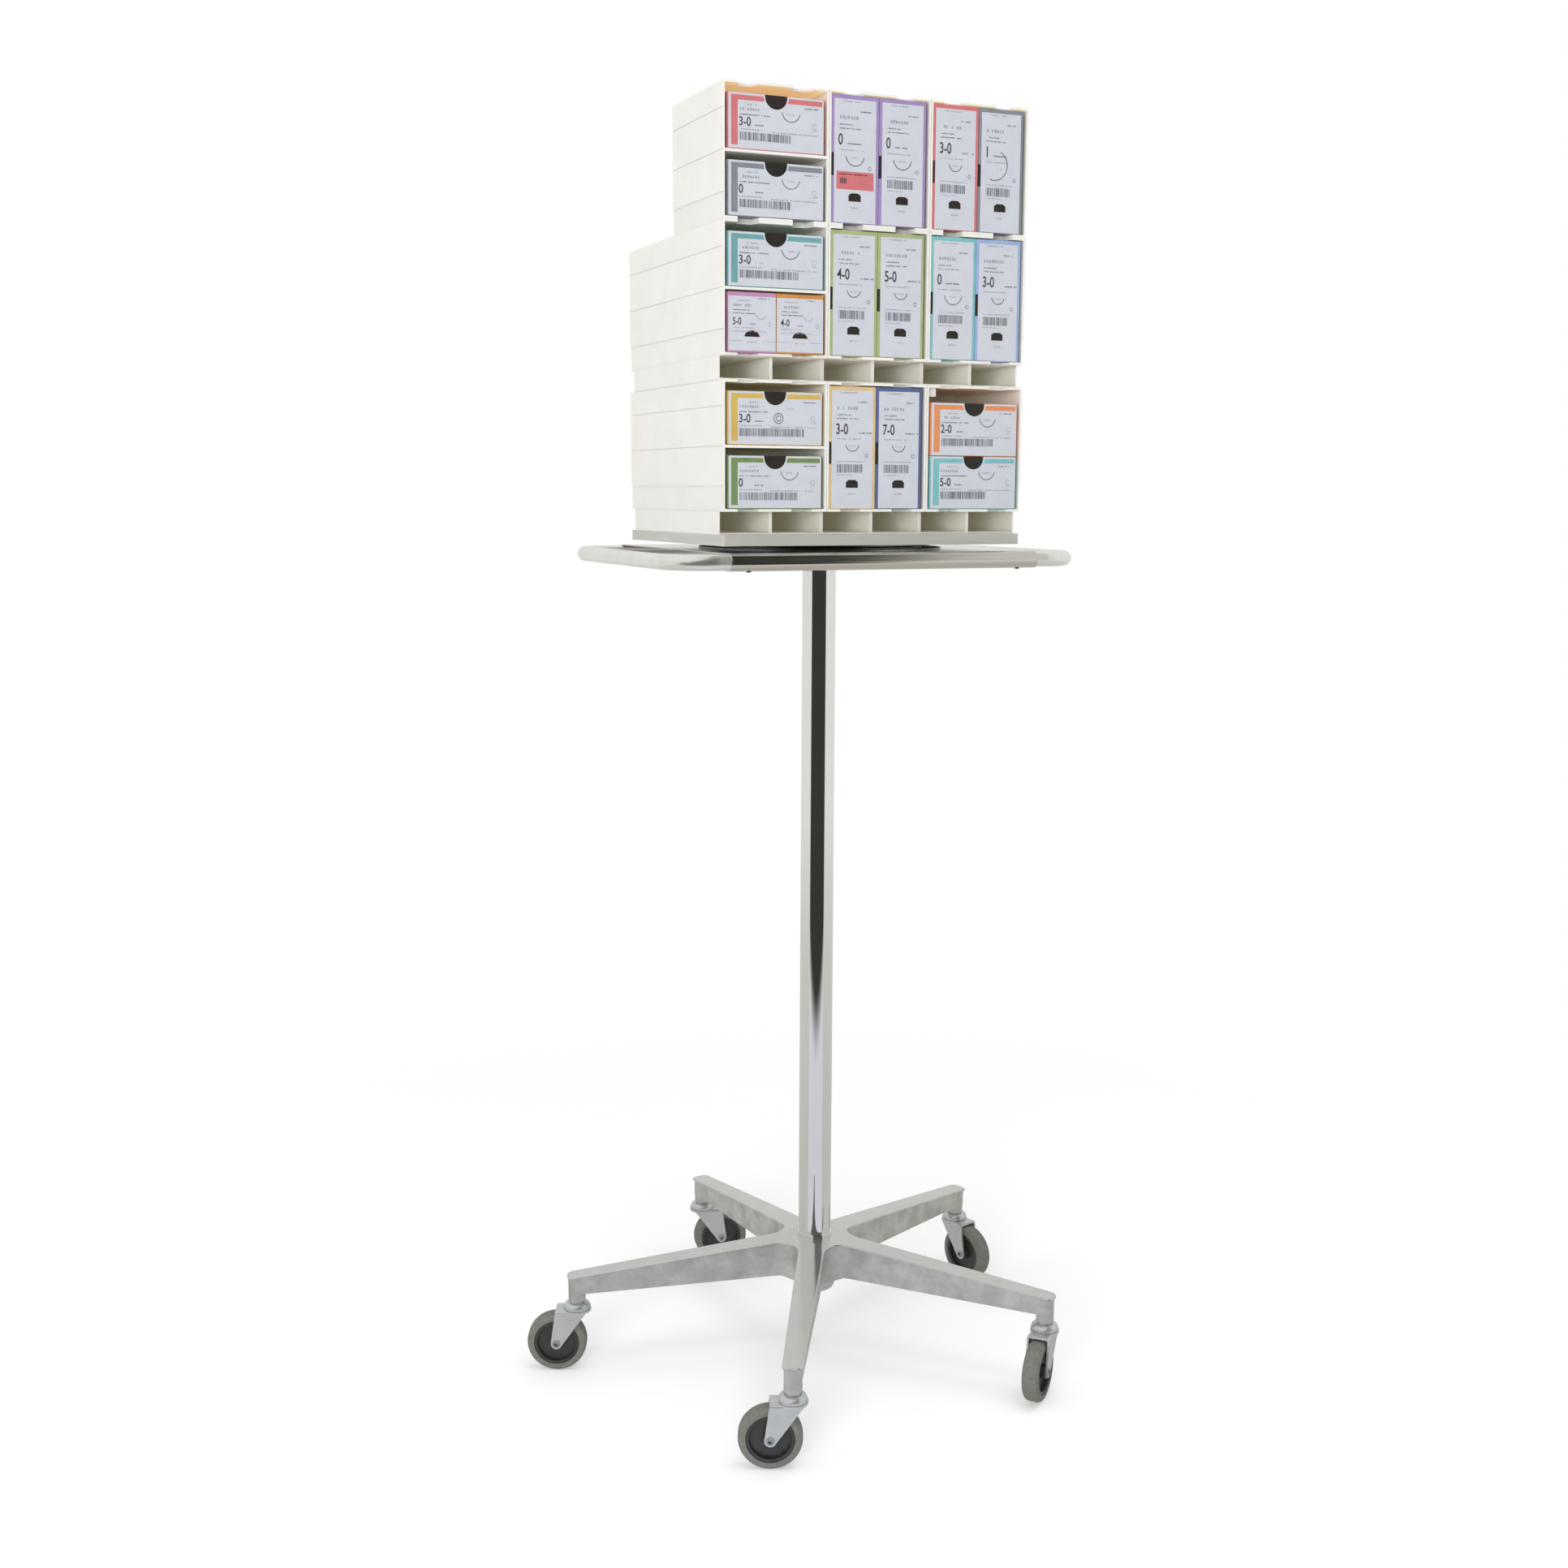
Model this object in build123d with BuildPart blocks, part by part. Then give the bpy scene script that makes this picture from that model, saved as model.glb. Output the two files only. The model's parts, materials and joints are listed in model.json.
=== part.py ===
from build123d import *
import math
import os

# Rotating stand for suture cartons: a five-arm caster base, a column, a tubular tray
# and a turntable with stacked open-front racks, front and rear.
# Millimetres. Origin on the floor under the column, +X along the rack fronts,
# +Y towards the rear racks, +Z up.

os.makedirs("parts", exist_ok=True)

# Fits and gaps
fit_clearance = 0.05
body_clearance = 0.3

# Casters
wheel_radius = 38.0
tyre_width = 21.0
tyre_corner = 5.5
tyre_wall = 9.0
wheel_barrel_radius = 9.0
wheel_web_thickness = 8.0
wheel_rim_wall = 4.0
wheel_rim_inset = 1.0
axle_radius = 4.0
axle_head_radius = 5.0
axle_head_thickness = 0.9
axle_dimple_radius = 2.8
axle_dimple_depth = 3.0
caster_trail = 26.0
fork_gap = 24.0
fork_plate = 2.5
fork_corner = 3.5
fork_foot_radius = 7.0
fork_top = 82.0
fork_ahead = 12.0
fork_behind = 1.0
fork_step = 3.0
crown_radius = 18.0
kingpin_radius = 4.0
kingpin_head_radius = 6.5
kingpin_head_thickness = 2.4
raceway_radius = 17.0
raceway_rim = 2.4
raceway_height = 8.5
dome_bulge = 1.6
neck_radius = 9.0
neck_height = 3.5
stem_radius = 5.5
stem_height = 22.0
caster_headings = (156.7, 156.7, 222.0, 287.0, 350.0)

# Five-arm base
arm_count = 5
first_arm_angle = 169.3
stem_circle = 314.0
tip_margin = 12.0
arm_root_half_width = 17.8
arm_tip_half_width = 12.5
arm_tip_corner = 8.0
arm_root_fillet = 24.0
arm_tip_top = 126.0
arm_tip_underside = 103.0
arm_root_underside = 107.0
hub_top = 155.0
hub_bottom = 100.0
hub_flat_radius = 34.0
hub_drop_radius = 50.0
lip_overhang = 2.5
lip_thickness = 3.0
lip_round = 1.6
arm_wall = 4.0
arm_roof = 6.0
arm_hollow_start = 62.0
hollow_to_stem = 24.0
boss_radius = 11.0

# Foot cap, column and collar
cap_radius = 26.5
cap_height = 17.0
cap_round = 6.0
cap_spigot_radius = 14.0
cap_spigot_height = 4.0
column_radius = 21.0
column_wall = 2.0
column_foot = 104.0
flange_radius = 65.0
flange_thickness = 6.0
flange_bolt_circle = 50.0
flange_bolt_count = 4
flange_bolt_radius = 3.0
flange_bolt_head_radius = 5.0
flange_bolt_head_height = 4.0
collar_wall = 1.2
collar_height = 4.5

# Tray
tray_height = 1053.0
ring_radius = 9.0
ring_half_length = 258.0
ring_half_depth = 189.0
ring_corner = 48.0
sheet = 1.0
plate_half_length = 195.0
plate_tail = 12.0
tray_screw_x = 172.0
tray_screw_radius = 1.6
tray_screw_length = 6.0
tray_screw_head_radius = 3.0
tray_screw_head_height = 1.2

# Turntable bearing
bearing_height = 7.0
bearing_radius = 150.0
bearing_sheet = 1.5
race_radius = 120.0
race_half_width = 7.0
race_height = 1.2
ball_radius = 1.6
ball_count = 24

# Base board
board_thickness = 12.5
board_corner = 3.0

# Racks
module_pitch = 127.5
module_seam = 0.4
module_height = 146.0
module_depth = 159.5
module_corner = 1.0
modules_wide = 3
side_wall = 2.5
plate_wall = 3.0
back_wall = 2.5
shelf_rise = 70.9
shelf_thickness = 3.0
band_height = 29.0
band_inset = 1.2
groove_heights = (73.0, 117.0)
groove_width = 1.0
groove_depth = 0.6
notch_offset = 33.0
notch_mouth = 26.0
notch_back = 18.0
notch_depth = 15.0
coupling_width = 12.0
coupling_height = 10.0
coupling_depth = 12.0
coupling_setback = 6.0

# Pocket rows
pocket_height = 26.0
pocket_inset = 14.0
pocket_floor = 2.0
pocket_wall = 1.8

# Cartons
carton_length = 138.4
carton_width = 116.0
carton_thickness = 59.3
stacked_thickness = 61.3
tall_thickness = 59.0
small_width = 57.5
small_height = 65.0
small_depth = 116.0
carton_setback = 1.0
small_proud = 1.5
carton_gap = 0.5
carton_fold = 0.6
thumb_radius = 13.5
thumb_border = 1.5
recess_depth = 6.0
window_width = 15.5
window_height = 9.0
window_roof = 2.5
window_rise = 24.0
slit_width = 3.4
slit_height = 25.0
slit_rise = 51.0
moon_half_width = 9.5
moon_height = 7.0
moon_rise = 17.0

# Heights and lengths that follow from the sizes above
arm_reach = stem_circle + tip_margin
arm_hollow_end = stem_circle - hollow_to_stem
raceway_top = fork_top + raceway_height
boss_bottom = raceway_top + neck_height
sleeve_inner = ring_radius + fit_clearance
sleeve_outer = sleeve_inner + sheet
ring_height = tray_height - sleeve_outer
plate_underside = tray_height - sheet
board_bottom = tray_height + bearing_height
board_top = board_bottom + board_thickness
bottom_rack = board_top + pocket_height
middle_rack = bottom_rack + module_height + pocket_height
top_rack = middle_rack + module_height
rack_bottoms = {"top": top_rack, "middle": middle_rack, "bottom": bottom_rack}
pocket_bottoms = {"upper": bottom_rack + module_height, "lower": board_top}
module_width = module_pitch - module_seam
cell_width = module_width - 2 * side_wall
column_names = ("left", "centre", "right")
module_centres = [(i - (modules_wide - 1) / 2) * module_pitch for i in range(modules_wide)]


# Five-arm base: a cast star with an overhanging polished top and hollow arms
def star_outline(inset):
    with BuildSketch() as outline:
        with PolarLocations(0, arm_count, start_angle=first_arm_angle):
            Polygon(
                (0, -arm_root_half_width),
                (arm_reach, -arm_tip_half_width),
                (arm_reach, arm_tip_half_width),
                (0, arm_root_half_width),
                align=None,
            )
        tips = outline.vertices().filter_by(lambda v: math.hypot(v.X, v.Y) > stem_circle)
        fillet(tips, arm_tip_corner)
        roots = outline.vertices().filter_by(lambda v: math.hypot(v.X, v.Y) < hub_drop_radius)
        fillet(roots, arm_root_fillet)
        if inset > 0:
            offset(amount=-inset, kind=Kind.INTERSECTION)
    return outline.sketch


def star_slab(inset, profile):
    # The star outline, kept only where a profile turned about the column reaches
    with BuildPart() as slab:
        with BuildSketch():
            add(star_outline(inset))
        extrude(amount=hub_top)
        with BuildSketch(Plane.XZ):
            Polygon(*profile, align=None)
        revolve(axis=Axis.Z, mode=Mode.INTERSECT)
    return slab.part


slope = (hub_top - arm_tip_top) / (arm_reach - hub_flat_radius)


def arm_top(radius):
    return hub_top - slope * max(radius - hub_flat_radius, 0)


lip_profile = (
    (0, hub_top - lip_thickness),
    (0, hub_top),
    (hub_flat_radius, hub_top),
    (arm_reach, arm_tip_top),
    (arm_reach, arm_tip_top - lip_thickness),
    (hub_flat_radius, hub_top - lip_thickness),
)
web_profile = (
    (0, hub_bottom),
    (0, hub_top - lip_thickness),
    (hub_flat_radius, hub_top - lip_thickness),
    (arm_reach, arm_tip_top - lip_thickness),
    (arm_reach, arm_tip_underside),
    (hub_drop_radius, arm_root_underside),
    (hub_flat_radius, hub_bottom),
)
hollow_profile = (
    (arm_hollow_start, 0),
    (arm_hollow_start, arm_top(arm_hollow_start) - arm_roof),
    (arm_hollow_end, arm_top(arm_hollow_end) - arm_roof),
    (arm_hollow_end, 0),
)


def on_lip_rim(edge):
    middle = edge @ 0.5
    radius = math.hypot(middle.X, middle.Y)
    return radius > hub_flat_radius + lip_overhang and abs(middle.Z - arm_top(radius)) < fit_clearance


with BuildPart() as star_base:
    add(star_slab(0, lip_profile))
    fillet(star_base.edges().filter_by(on_lip_rim), lip_round)
    add(star_slab(lip_overhang, web_profile))
    with BuildSketch(Plane.XY.offset(boss_bottom)):
        with PolarLocations(stem_circle, arm_count, start_angle=first_arm_angle):
            Circle(boss_radius)
    extrude(amount=arm_tip_top - lip_thickness - boss_bottom)
    add(star_slab(lip_overhang + arm_wall, hollow_profile), mode=Mode.SUBTRACT)
    with BuildSketch(Plane.XY.offset(boss_bottom)):
        with PolarLocations(stem_circle, arm_count, start_angle=first_arm_angle):
            Circle(stem_radius + fit_clearance)
    extrude(amount=stem_height + body_clearance, mode=Mode.SUBTRACT)
    with BuildSketch(Plane.XY.offset(column_foot)):
        Circle(column_radius + fit_clearance)
    extrude(amount=hub_top - column_foot, mode=Mode.SUBTRACT)
    with BuildSketch(Plane.XY.offset(hub_bottom)):
        Circle(cap_spigot_radius + fit_clearance)
    extrude(amount=column_foot - hub_bottom, mode=Mode.SUBTRACT)
star_base.part.label = "star_base"
export_step(star_base.part, "parts/star_base.step")

# Round cap pressed into the hub from below
with BuildPart() as foot_cap:
    with BuildSketch(Plane.XY.offset(hub_bottom - cap_height)):
        Circle(cap_radius)
    extrude(amount=cap_height)
    fillet(foot_cap.edges().group_by(Axis.Z)[0], cap_round)
    with BuildSketch(Plane.XY.offset(hub_bottom)):
        Circle(cap_spigot_radius)
    extrude(amount=cap_spigot_height - body_clearance)
foot_cap.part.label = "foot_cap"
export_step(foot_cap.part, "parts/foot_cap.step")

# Chromed column tube with the flange that carries the tray
with BuildPart() as column:
    with BuildSketch(Plane.XY.offset(column_foot)):
        Circle(column_radius)
    extrude(amount=plate_underside - column_foot)
    with BuildSketch(Plane.XY.offset(plate_underside - flange_thickness)):
        Circle(flange_radius)
    extrude(amount=flange_thickness)
    with BuildSketch(Plane.XY.offset(column_foot)):
        Circle(column_radius - column_wall)
    extrude(amount=plate_underside - column_foot, mode=Mode.SUBTRACT)
    with BuildSketch(Plane.XY.offset(plate_underside - flange_thickness)):
        with PolarLocations(flange_bolt_circle, flange_bolt_count):
            Circle(flange_bolt_radius + fit_clearance)
    extrude(amount=flange_thickness, mode=Mode.SUBTRACT)
column.part.label = "column"
export_step(column.part, "parts/column.step")

# Collar ring that closes the joint between column and hub
with BuildPart() as column_collar:
    with BuildSketch(Plane.XY.offset(hub_top)):
        Circle(column_radius + fit_clearance + collar_wall)
        Circle(column_radius + fit_clearance, mode=Mode.SUBTRACT)
    extrude(amount=collar_height)
column_collar.part.label = "column_collar"
export_step(column_collar.part, "parts/column_collar.step")

# Bolts through flange, tray plate and lower bearing plate, heads below
with BuildPart() as flange_bolts:
    with BuildSketch(Plane.XY.offset(plate_underside - flange_thickness - flange_bolt_head_height)):
        with PolarLocations(flange_bolt_circle, flange_bolt_count):
            RegularPolygon(flange_bolt_head_radius, 6)
    extrude(amount=flange_bolt_head_height)
    with BuildSketch(Plane.XY.offset(plate_underside - flange_thickness)):
        with PolarLocations(flange_bolt_circle, flange_bolt_count):
            Circle(flange_bolt_radius)
    extrude(amount=flange_thickness + sheet + bearing_sheet)
flange_bolts.part.label = "flange_bolts"
export_step(flange_bolts.part, "parts/flange_bolts.step")

# Tray: a closed tube ring, its two ends open as hand grips
ring_corners = (
    (-ring_half_length, -ring_half_depth),
    (ring_half_length, -ring_half_depth),
    (ring_half_length, ring_half_depth),
    (-ring_half_length, ring_half_depth),
)
screw_spots = [
    (x, y) for x in (-tray_screw_x, tray_screw_x) for y in (-ring_half_depth, ring_half_depth)
]
screw_seat = ring_height - sleeve_outer

with BuildPart() as tray_ring:
    with BuildLine(Plane.XY.offset(ring_height)):
        ring_path = FilletPolyline(*ring_corners, radius=ring_corner, close=True)
    with BuildSketch(Plane(origin=ring_path @ 0, z_dir=ring_path % 0)):
        Circle(ring_radius)
    sweep()
    with BuildSketch(Plane.XY.offset(screw_seat)):
        with Locations(*screw_spots):
            Circle(tray_screw_radius + fit_clearance)
    extrude(amount=tray_screw_length, mode=Mode.SUBTRACT)
tray_ring.part.label = "tray_ring"
export_step(tray_ring.part, "parts/tray_ring.step")

# Tray plate: one sheet rolled round the front and rear tubes
with BuildPart() as tray_plate:
    with BuildSketch(Plane.YZ.offset(-plate_half_length)):
        with Locations((0, ring_height)):
            SlotCenterToCenter(2 * ring_half_depth, 2 * sleeve_outer)
            SlotCenterToCenter(2 * ring_half_depth, 2 * sleeve_inner, mode=Mode.SUBTRACT)
        with Locations((0, ring_height - sleeve_outer)):
            Rectangle(2 * (ring_half_depth - plate_tail), 2 * sleeve_inner, mode=Mode.SUBTRACT)
    extrude(amount=2 * plate_half_length)
    with BuildSketch(Plane.XY.offset(screw_seat)):
        with Locations(*screw_spots):
            Circle(tray_screw_radius + fit_clearance)
    extrude(amount=tray_screw_length, mode=Mode.SUBTRACT)
    with BuildSketch(Plane.XY.offset(plate_underside)):
        with PolarLocations(flange_bolt_circle, flange_bolt_count):
            Circle(flange_bolt_radius + fit_clearance)
    extrude(amount=sheet, mode=Mode.SUBTRACT)
tray_plate.part.label = "tray_plate"
export_step(tray_plate.part, "parts/tray_plate.step")

with BuildPart() as tray_screws:
    with BuildSketch(Plane.XY.offset(screw_seat - tray_screw_head_height)):
        with Locations(*screw_spots):
            Circle(tray_screw_head_radius)
    extrude(amount=tray_screw_head_height)
    with BuildSketch(Plane.XY.offset(screw_seat)):
        with Locations(*screw_spots):
            Circle(tray_screw_radius)
    extrude(amount=tray_screw_length)
tray_screws.part.label = "tray_screws"
export_step(tray_screws.part, "parts/tray_screws.step")


# Turntable bearing: two round plates with grooved races and a ring of balls
def bearing_plate(sheet_bottom, race_bottom):
    with BuildPart() as plate:
        with BuildSketch(Plane.XY.offset(sheet_bottom)):
            Circle(bearing_radius)
        extrude(amount=bearing_sheet)
        with BuildSketch(Plane.XY.offset(race_bottom)):
            Circle(race_radius + race_half_width)
            Circle(race_radius - race_half_width, mode=Mode.SUBTRACT)
        extrude(amount=race_height)
        with BuildSketch(Plane.XZ):
            with Locations((race_radius, tray_height + bearing_height / 2)):
                Circle(ball_radius + body_clearance)
        revolve(axis=Axis.Z, mode=Mode.SUBTRACT)
        if sheet_bottom < race_bottom:
            with BuildSketch(Plane.XY.offset(sheet_bottom)):
                with PolarLocations(flange_bolt_circle, flange_bolt_count):
                    Circle(flange_bolt_radius + fit_clearance)
            extrude(amount=bearing_sheet, mode=Mode.SUBTRACT)
    return plate


bearing_lower = bearing_plate(tray_height, tray_height + bearing_sheet)
bearing_lower.part.label = "bearing_lower"
export_step(bearing_lower.part, "parts/bearing_lower.step")

bearing_upper = bearing_plate(
    board_bottom - bearing_sheet, board_bottom - bearing_sheet - race_height
)
bearing_upper.part.label = "bearing_upper"
export_step(bearing_upper.part, "parts/bearing_upper.step")

with BuildPart(Plane.XY.offset(tray_height + bearing_height / 2)) as bearing_balls:
    with PolarLocations(race_radius, ball_count):
        Sphere(ball_radius)
bearing_balls.part.label = "bearing_balls"
export_step(bearing_balls.part, "parts/bearing_balls.step")

# Base board under the racks
with BuildPart() as base_board:
    with BuildSketch(Plane.XY.offset(board_bottom)):
        RectangleRounded(modules_wide * module_pitch, 2 * module_depth, board_corner)
    extrude(amount=board_thickness)
base_board.part.label = "base_board"
export_step(base_board.part, "parts/base_board.step")


# Racks: open-front modules side by side; side is 1 for the front racks, -1 for the rear
def wall_plane(side, distance):
    return Plane.XZ.offset(side * distance)


def rack_row(side, bottom, shelved, coupled):
    edge = module_centres[-1] + module_width / 2
    middle = bottom + module_height / 2
    cell_height = module_height - 2 * plate_wall
    with BuildPart() as row:
        with BuildSketch(wall_plane(side, module_depth)):
            with Locations(*[(x, middle) for x in module_centres]):
                RectangleRounded(module_width, module_height, module_corner)
                RectangleRounded(cell_width, cell_height, module_corner, mode=Mode.SUBTRACT)
        extrude(amount=-side * (module_depth - back_wall))
        with BuildSketch(wall_plane(side, back_wall)):
            with Locations(*[(x, middle) for x in module_centres]):
                RectangleRounded(module_width, module_height, module_corner)
        extrude(amount=-side * back_wall)
        if shelved:
            with BuildSketch(wall_plane(side, module_depth)):
                with Locations((module_centres[0], bottom + shelf_rise + shelf_thickness / 2)):
                    Rectangle(cell_width, shelf_thickness)
            extrude(amount=-side * (module_depth - back_wall))
        if coupled:
            corner = (
                module_centres[-1] - cell_width / 2 + coupling_width / 2,
                bottom + module_height - plate_wall - coupling_height / 2,
            )
            with BuildSketch(wall_plane(side, module_depth - coupling_setback)):
                with Locations(corner):
                    Rectangle(coupling_width, coupling_height)
            extrude(amount=-side * coupling_depth)
        # Recessed foot band and two grooves along both outer side walls
        with BuildSketch(wall_plane(side, module_depth)):
            for end in (-edge, edge):
                with Locations((end, bottom + band_height / 2)):
                    Rectangle(2 * band_inset, band_height)
                with Locations(*[(end, bottom + height) for height in groove_heights]):
                    Rectangle(2 * groove_depth, groove_width)
        extrude(amount=-side * module_depth, mode=Mode.SUBTRACT)
        # Finger notches in the front edges of floor and top
        for level in (bottom, bottom + module_height - plate_wall):
            with BuildSketch(Plane.XY.offset(level)):
                for x in module_centres:
                    with Locations((x - notch_offset, 0), (x + notch_offset, 0)):
                        Polygon(
                            (-notch_mouth / 2, -side * module_depth),
                            (notch_mouth / 2, -side * module_depth),
                            (notch_back / 2, -side * (module_depth - notch_depth)),
                            (-notch_back / 2, -side * (module_depth - notch_depth)),
                            align=None,
                        )
            extrude(amount=plate_wall, mode=Mode.SUBTRACT)
    return row


for level_name in ("top", "middle", "bottom"):
    front_row = rack_row(1, rack_bottoms[level_name], True, level_name == "bottom")
    front_row.part.label = f"rack_front_{level_name}"
    export_step(front_row.part, f"parts/rack_front_{level_name}.step")

for level_name in ("middle", "bottom"):
    rear_row = rack_row(-1, rack_bottoms[level_name], False, False)
    rear_row.part.label = f"rack_rear_{level_name}"
    export_step(rear_row.part, f"parts/rack_rear_{level_name}.step")

# Pocket rows: low trays with two pockets under each module, front and rear
pocket_width = module_pitch / 2
pocket_back = pocket_wall + module_seam / 2
for row_name, row_bottom in pocket_bottoms.items():
    with BuildPart() as pocket_row:
        for side in (1, -1):
            with BuildSketch(wall_plane(side, module_depth - pocket_inset)):
                with Locations(*[(x, row_bottom + pocket_height / 2) for x in module_centres]):
                    Rectangle(module_width, pocket_height)
                with Locations((0, row_bottom + pocket_floor + pocket_height / 2)):
                    with GridLocations(pocket_width, 0, 2 * modules_wide, 1):
                        Rectangle(pocket_width - 2 * pocket_wall, pocket_height, mode=Mode.SUBTRACT)
            extrude(amount=-side * (module_depth - pocket_inset - pocket_back))
            with BuildSketch(wall_plane(side, pocket_back)):
                with Locations(*[(x, row_bottom + pocket_height / 2) for x in module_centres]):
                    Rectangle(module_width, pocket_height)
            extrude(amount=-side * pocket_wall)
    pocket_row.part.label = f"pocket_row_{row_name}"
    export_step(pocket_row.part, f"parts/pocket_row_{row_name}.step")


# Cartons: closed boxes with the dark finger openings sunk into their fronts
def carton_box(centre_x, bottom, width, height, depth, front):
    with BuildPart() as box:
        with BuildSketch(Plane.XZ.offset(front)):
            with Locations((centre_x, bottom + height / 2)):
                Rectangle(width, height)
        extrude(amount=-depth)
        fillet(box.edges(), carton_fold)
    return box.part


def flat_carton(centre_x, bottom, thickness):
    front = module_depth - carton_setback
    with BuildPart() as carton:
        add(carton_box(centre_x, bottom, carton_width, thickness, carton_length, front))
        with BuildSketch(Plane.XZ.offset(front)):
            with Locations((centre_x, bottom + thickness - thumb_border)):
                Circle(thumb_radius)
        extrude(amount=-recess_depth, mode=Mode.SUBTRACT)
    return carton


def tall_carton(centre_x, bottom):
    front = module_depth - carton_setback
    left = centre_x - tall_thickness / 2
    sill = bottom + window_rise
    eaves = sill + window_height - window_roof
    with BuildPart() as carton:
        add(carton_box(centre_x, bottom, tall_thickness, carton_length, carton_width, front))
        with BuildSketch(Plane.XZ.offset(front)):
            Polygon(
                (centre_x - window_width / 2, sill),
                (centre_x + window_width / 2, sill),
                (centre_x + window_width / 2, eaves),
                (centre_x + window_width / 2 - window_roof, sill + window_height),
                (centre_x - window_width / 2 + window_roof, sill + window_height),
                (centre_x - window_width / 2, eaves),
                align=None,
            )
            with Locations((left + slit_width / 2, bottom + slit_rise + slit_height / 2)):
                Rectangle(slit_width, slit_height)
        extrude(amount=-recess_depth, mode=Mode.SUBTRACT)
    return carton


def small_carton(centre_x, bottom):
    front = module_depth + small_proud
    with BuildPart() as carton:
        add(carton_box(centre_x, bottom, small_width, small_height, small_depth, front))
        with BuildSketch(Plane.XZ.offset(front)):
            with BuildLine():
                Line(
                    (centre_x - moon_half_width, bottom + moon_rise),
                    (centre_x + moon_half_width, bottom + moon_rise),
                )
                ThreePointArc(
                    (centre_x + moon_half_width, bottom + moon_rise),
                    (centre_x, bottom + moon_rise + moon_height),
                    (centre_x - moon_half_width, bottom + moon_rise),
                )
            make_face()
        extrude(amount=-recess_depth, mode=Mode.SUBTRACT)
    return carton


cell_left = -cell_width / 2
tall_first = cell_left + body_clearance + tall_thickness / 2
tall_second = tall_first + tall_thickness + carton_gap
small_first = cell_left + (cell_width - carton_width) / 2 + small_width / 2
small_second = small_first + small_width + carton_gap
cell_floor = plate_wall + body_clearance
shelf_floor = shelf_rise + shelf_thickness + body_clearance

# What stands in each module, from the top rack to the bottom one
carton_plan = {
    "top": ("shelved", "tall", "tall"),
    "middle": ("small", "tall", "tall"),
    "bottom": ("shelved", "tall", "stacked"),
}

for level_name, kinds in carton_plan.items():
    level_bottom = rack_bottoms[level_name]
    floor = level_bottom + cell_floor
    shelf = level_bottom + shelf_floor
    for column_name, x, kind in zip(column_names, module_centres, kinds):
        cartons = {}
        if kind == "shelved":
            cartons["upper"] = flat_carton(x, shelf, carton_thickness)
            cartons["lower"] = flat_carton(x, floor, carton_thickness)
        if kind == "small":
            cartons["upper"] = flat_carton(x, shelf, carton_thickness)
            cartons["first"] = small_carton(x + small_first, floor)
            cartons["second"] = small_carton(x + small_second, floor)
        if kind == "stacked":
            stacked = floor + stacked_thickness + body_clearance
            cartons["upper"] = flat_carton(x, stacked, stacked_thickness)
            cartons["lower"] = flat_carton(x, floor, stacked_thickness)
        if kind == "tall":
            cartons["first"] = tall_carton(x + tall_first, floor)
            cartons["second"] = tall_carton(x + tall_second, floor)
        for spot, carton in cartons.items():
            carton_name = f"carton_{level_name}_{column_name}_{spot}"
            carton.part.label = carton_name
            export_step(carton.part, f"parts/{carton_name}.step")

# Casters: one under each arm tip
fork_outer = fork_gap + 2 * fork_plate
fork_underside = fork_top - fork_step
kingpin_bottom = fork_underside - body_clearance - kingpin_head_thickness
axle_end = fork_outer / 2 + axle_head_thickness
hub_radius = wheel_radius - tyre_wall
arm_angles = [first_arm_angle + i * 360 / arm_count for i in range(arm_count)]
stem_points = [
    Vector(stem_circle, 0).rotate(Axis.Z, arm_angle) for arm_angle in arm_angles
]

# Stems pressed into the bosses, each with its domed upper raceway and riveted kingpin
dome_start = (raceway_radius, fork_top + body_clearance + raceway_rim)
dome_end = (neck_radius, raceway_top)
dome_middle = (
    (dome_start[0] + dome_end[0]) / 2 + dome_bulge,
    (dome_start[1] + dome_end[1]) / 2 + dome_bulge,
)

with BuildPart() as caster_stems:
    for stem_point in stem_points:
        with BuildSketch(Plane(origin=stem_point, x_dir=(1, 0, 0), z_dir=(0, -1, 0))):
            with BuildLine():
                Polyline(
                    (0, boss_bottom + stem_height),
                    (0, kingpin_bottom),
                    (kingpin_head_radius, kingpin_bottom),
                    (kingpin_head_radius, kingpin_bottom + kingpin_head_thickness),
                    (kingpin_radius, kingpin_bottom + kingpin_head_thickness),
                    (kingpin_radius, fork_top + body_clearance),
                    (raceway_radius, fork_top + body_clearance),
                    dome_start,
                )
                ThreePointArc(dome_start, dome_middle, dome_end)
                Polyline(
                    dome_end,
                    (neck_radius, boss_bottom),
                    (stem_radius, boss_bottom),
                    (stem_radius, boss_bottom + stem_height),
                    (0, boss_bottom + stem_height),
                )
            make_face()
        revolve(axis=Axis(stem_point, (0, 0, 1)))
caster_stems.part.label = "caster_stems"
export_step(caster_stems.part, "parts/caster_stems.step")

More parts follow.
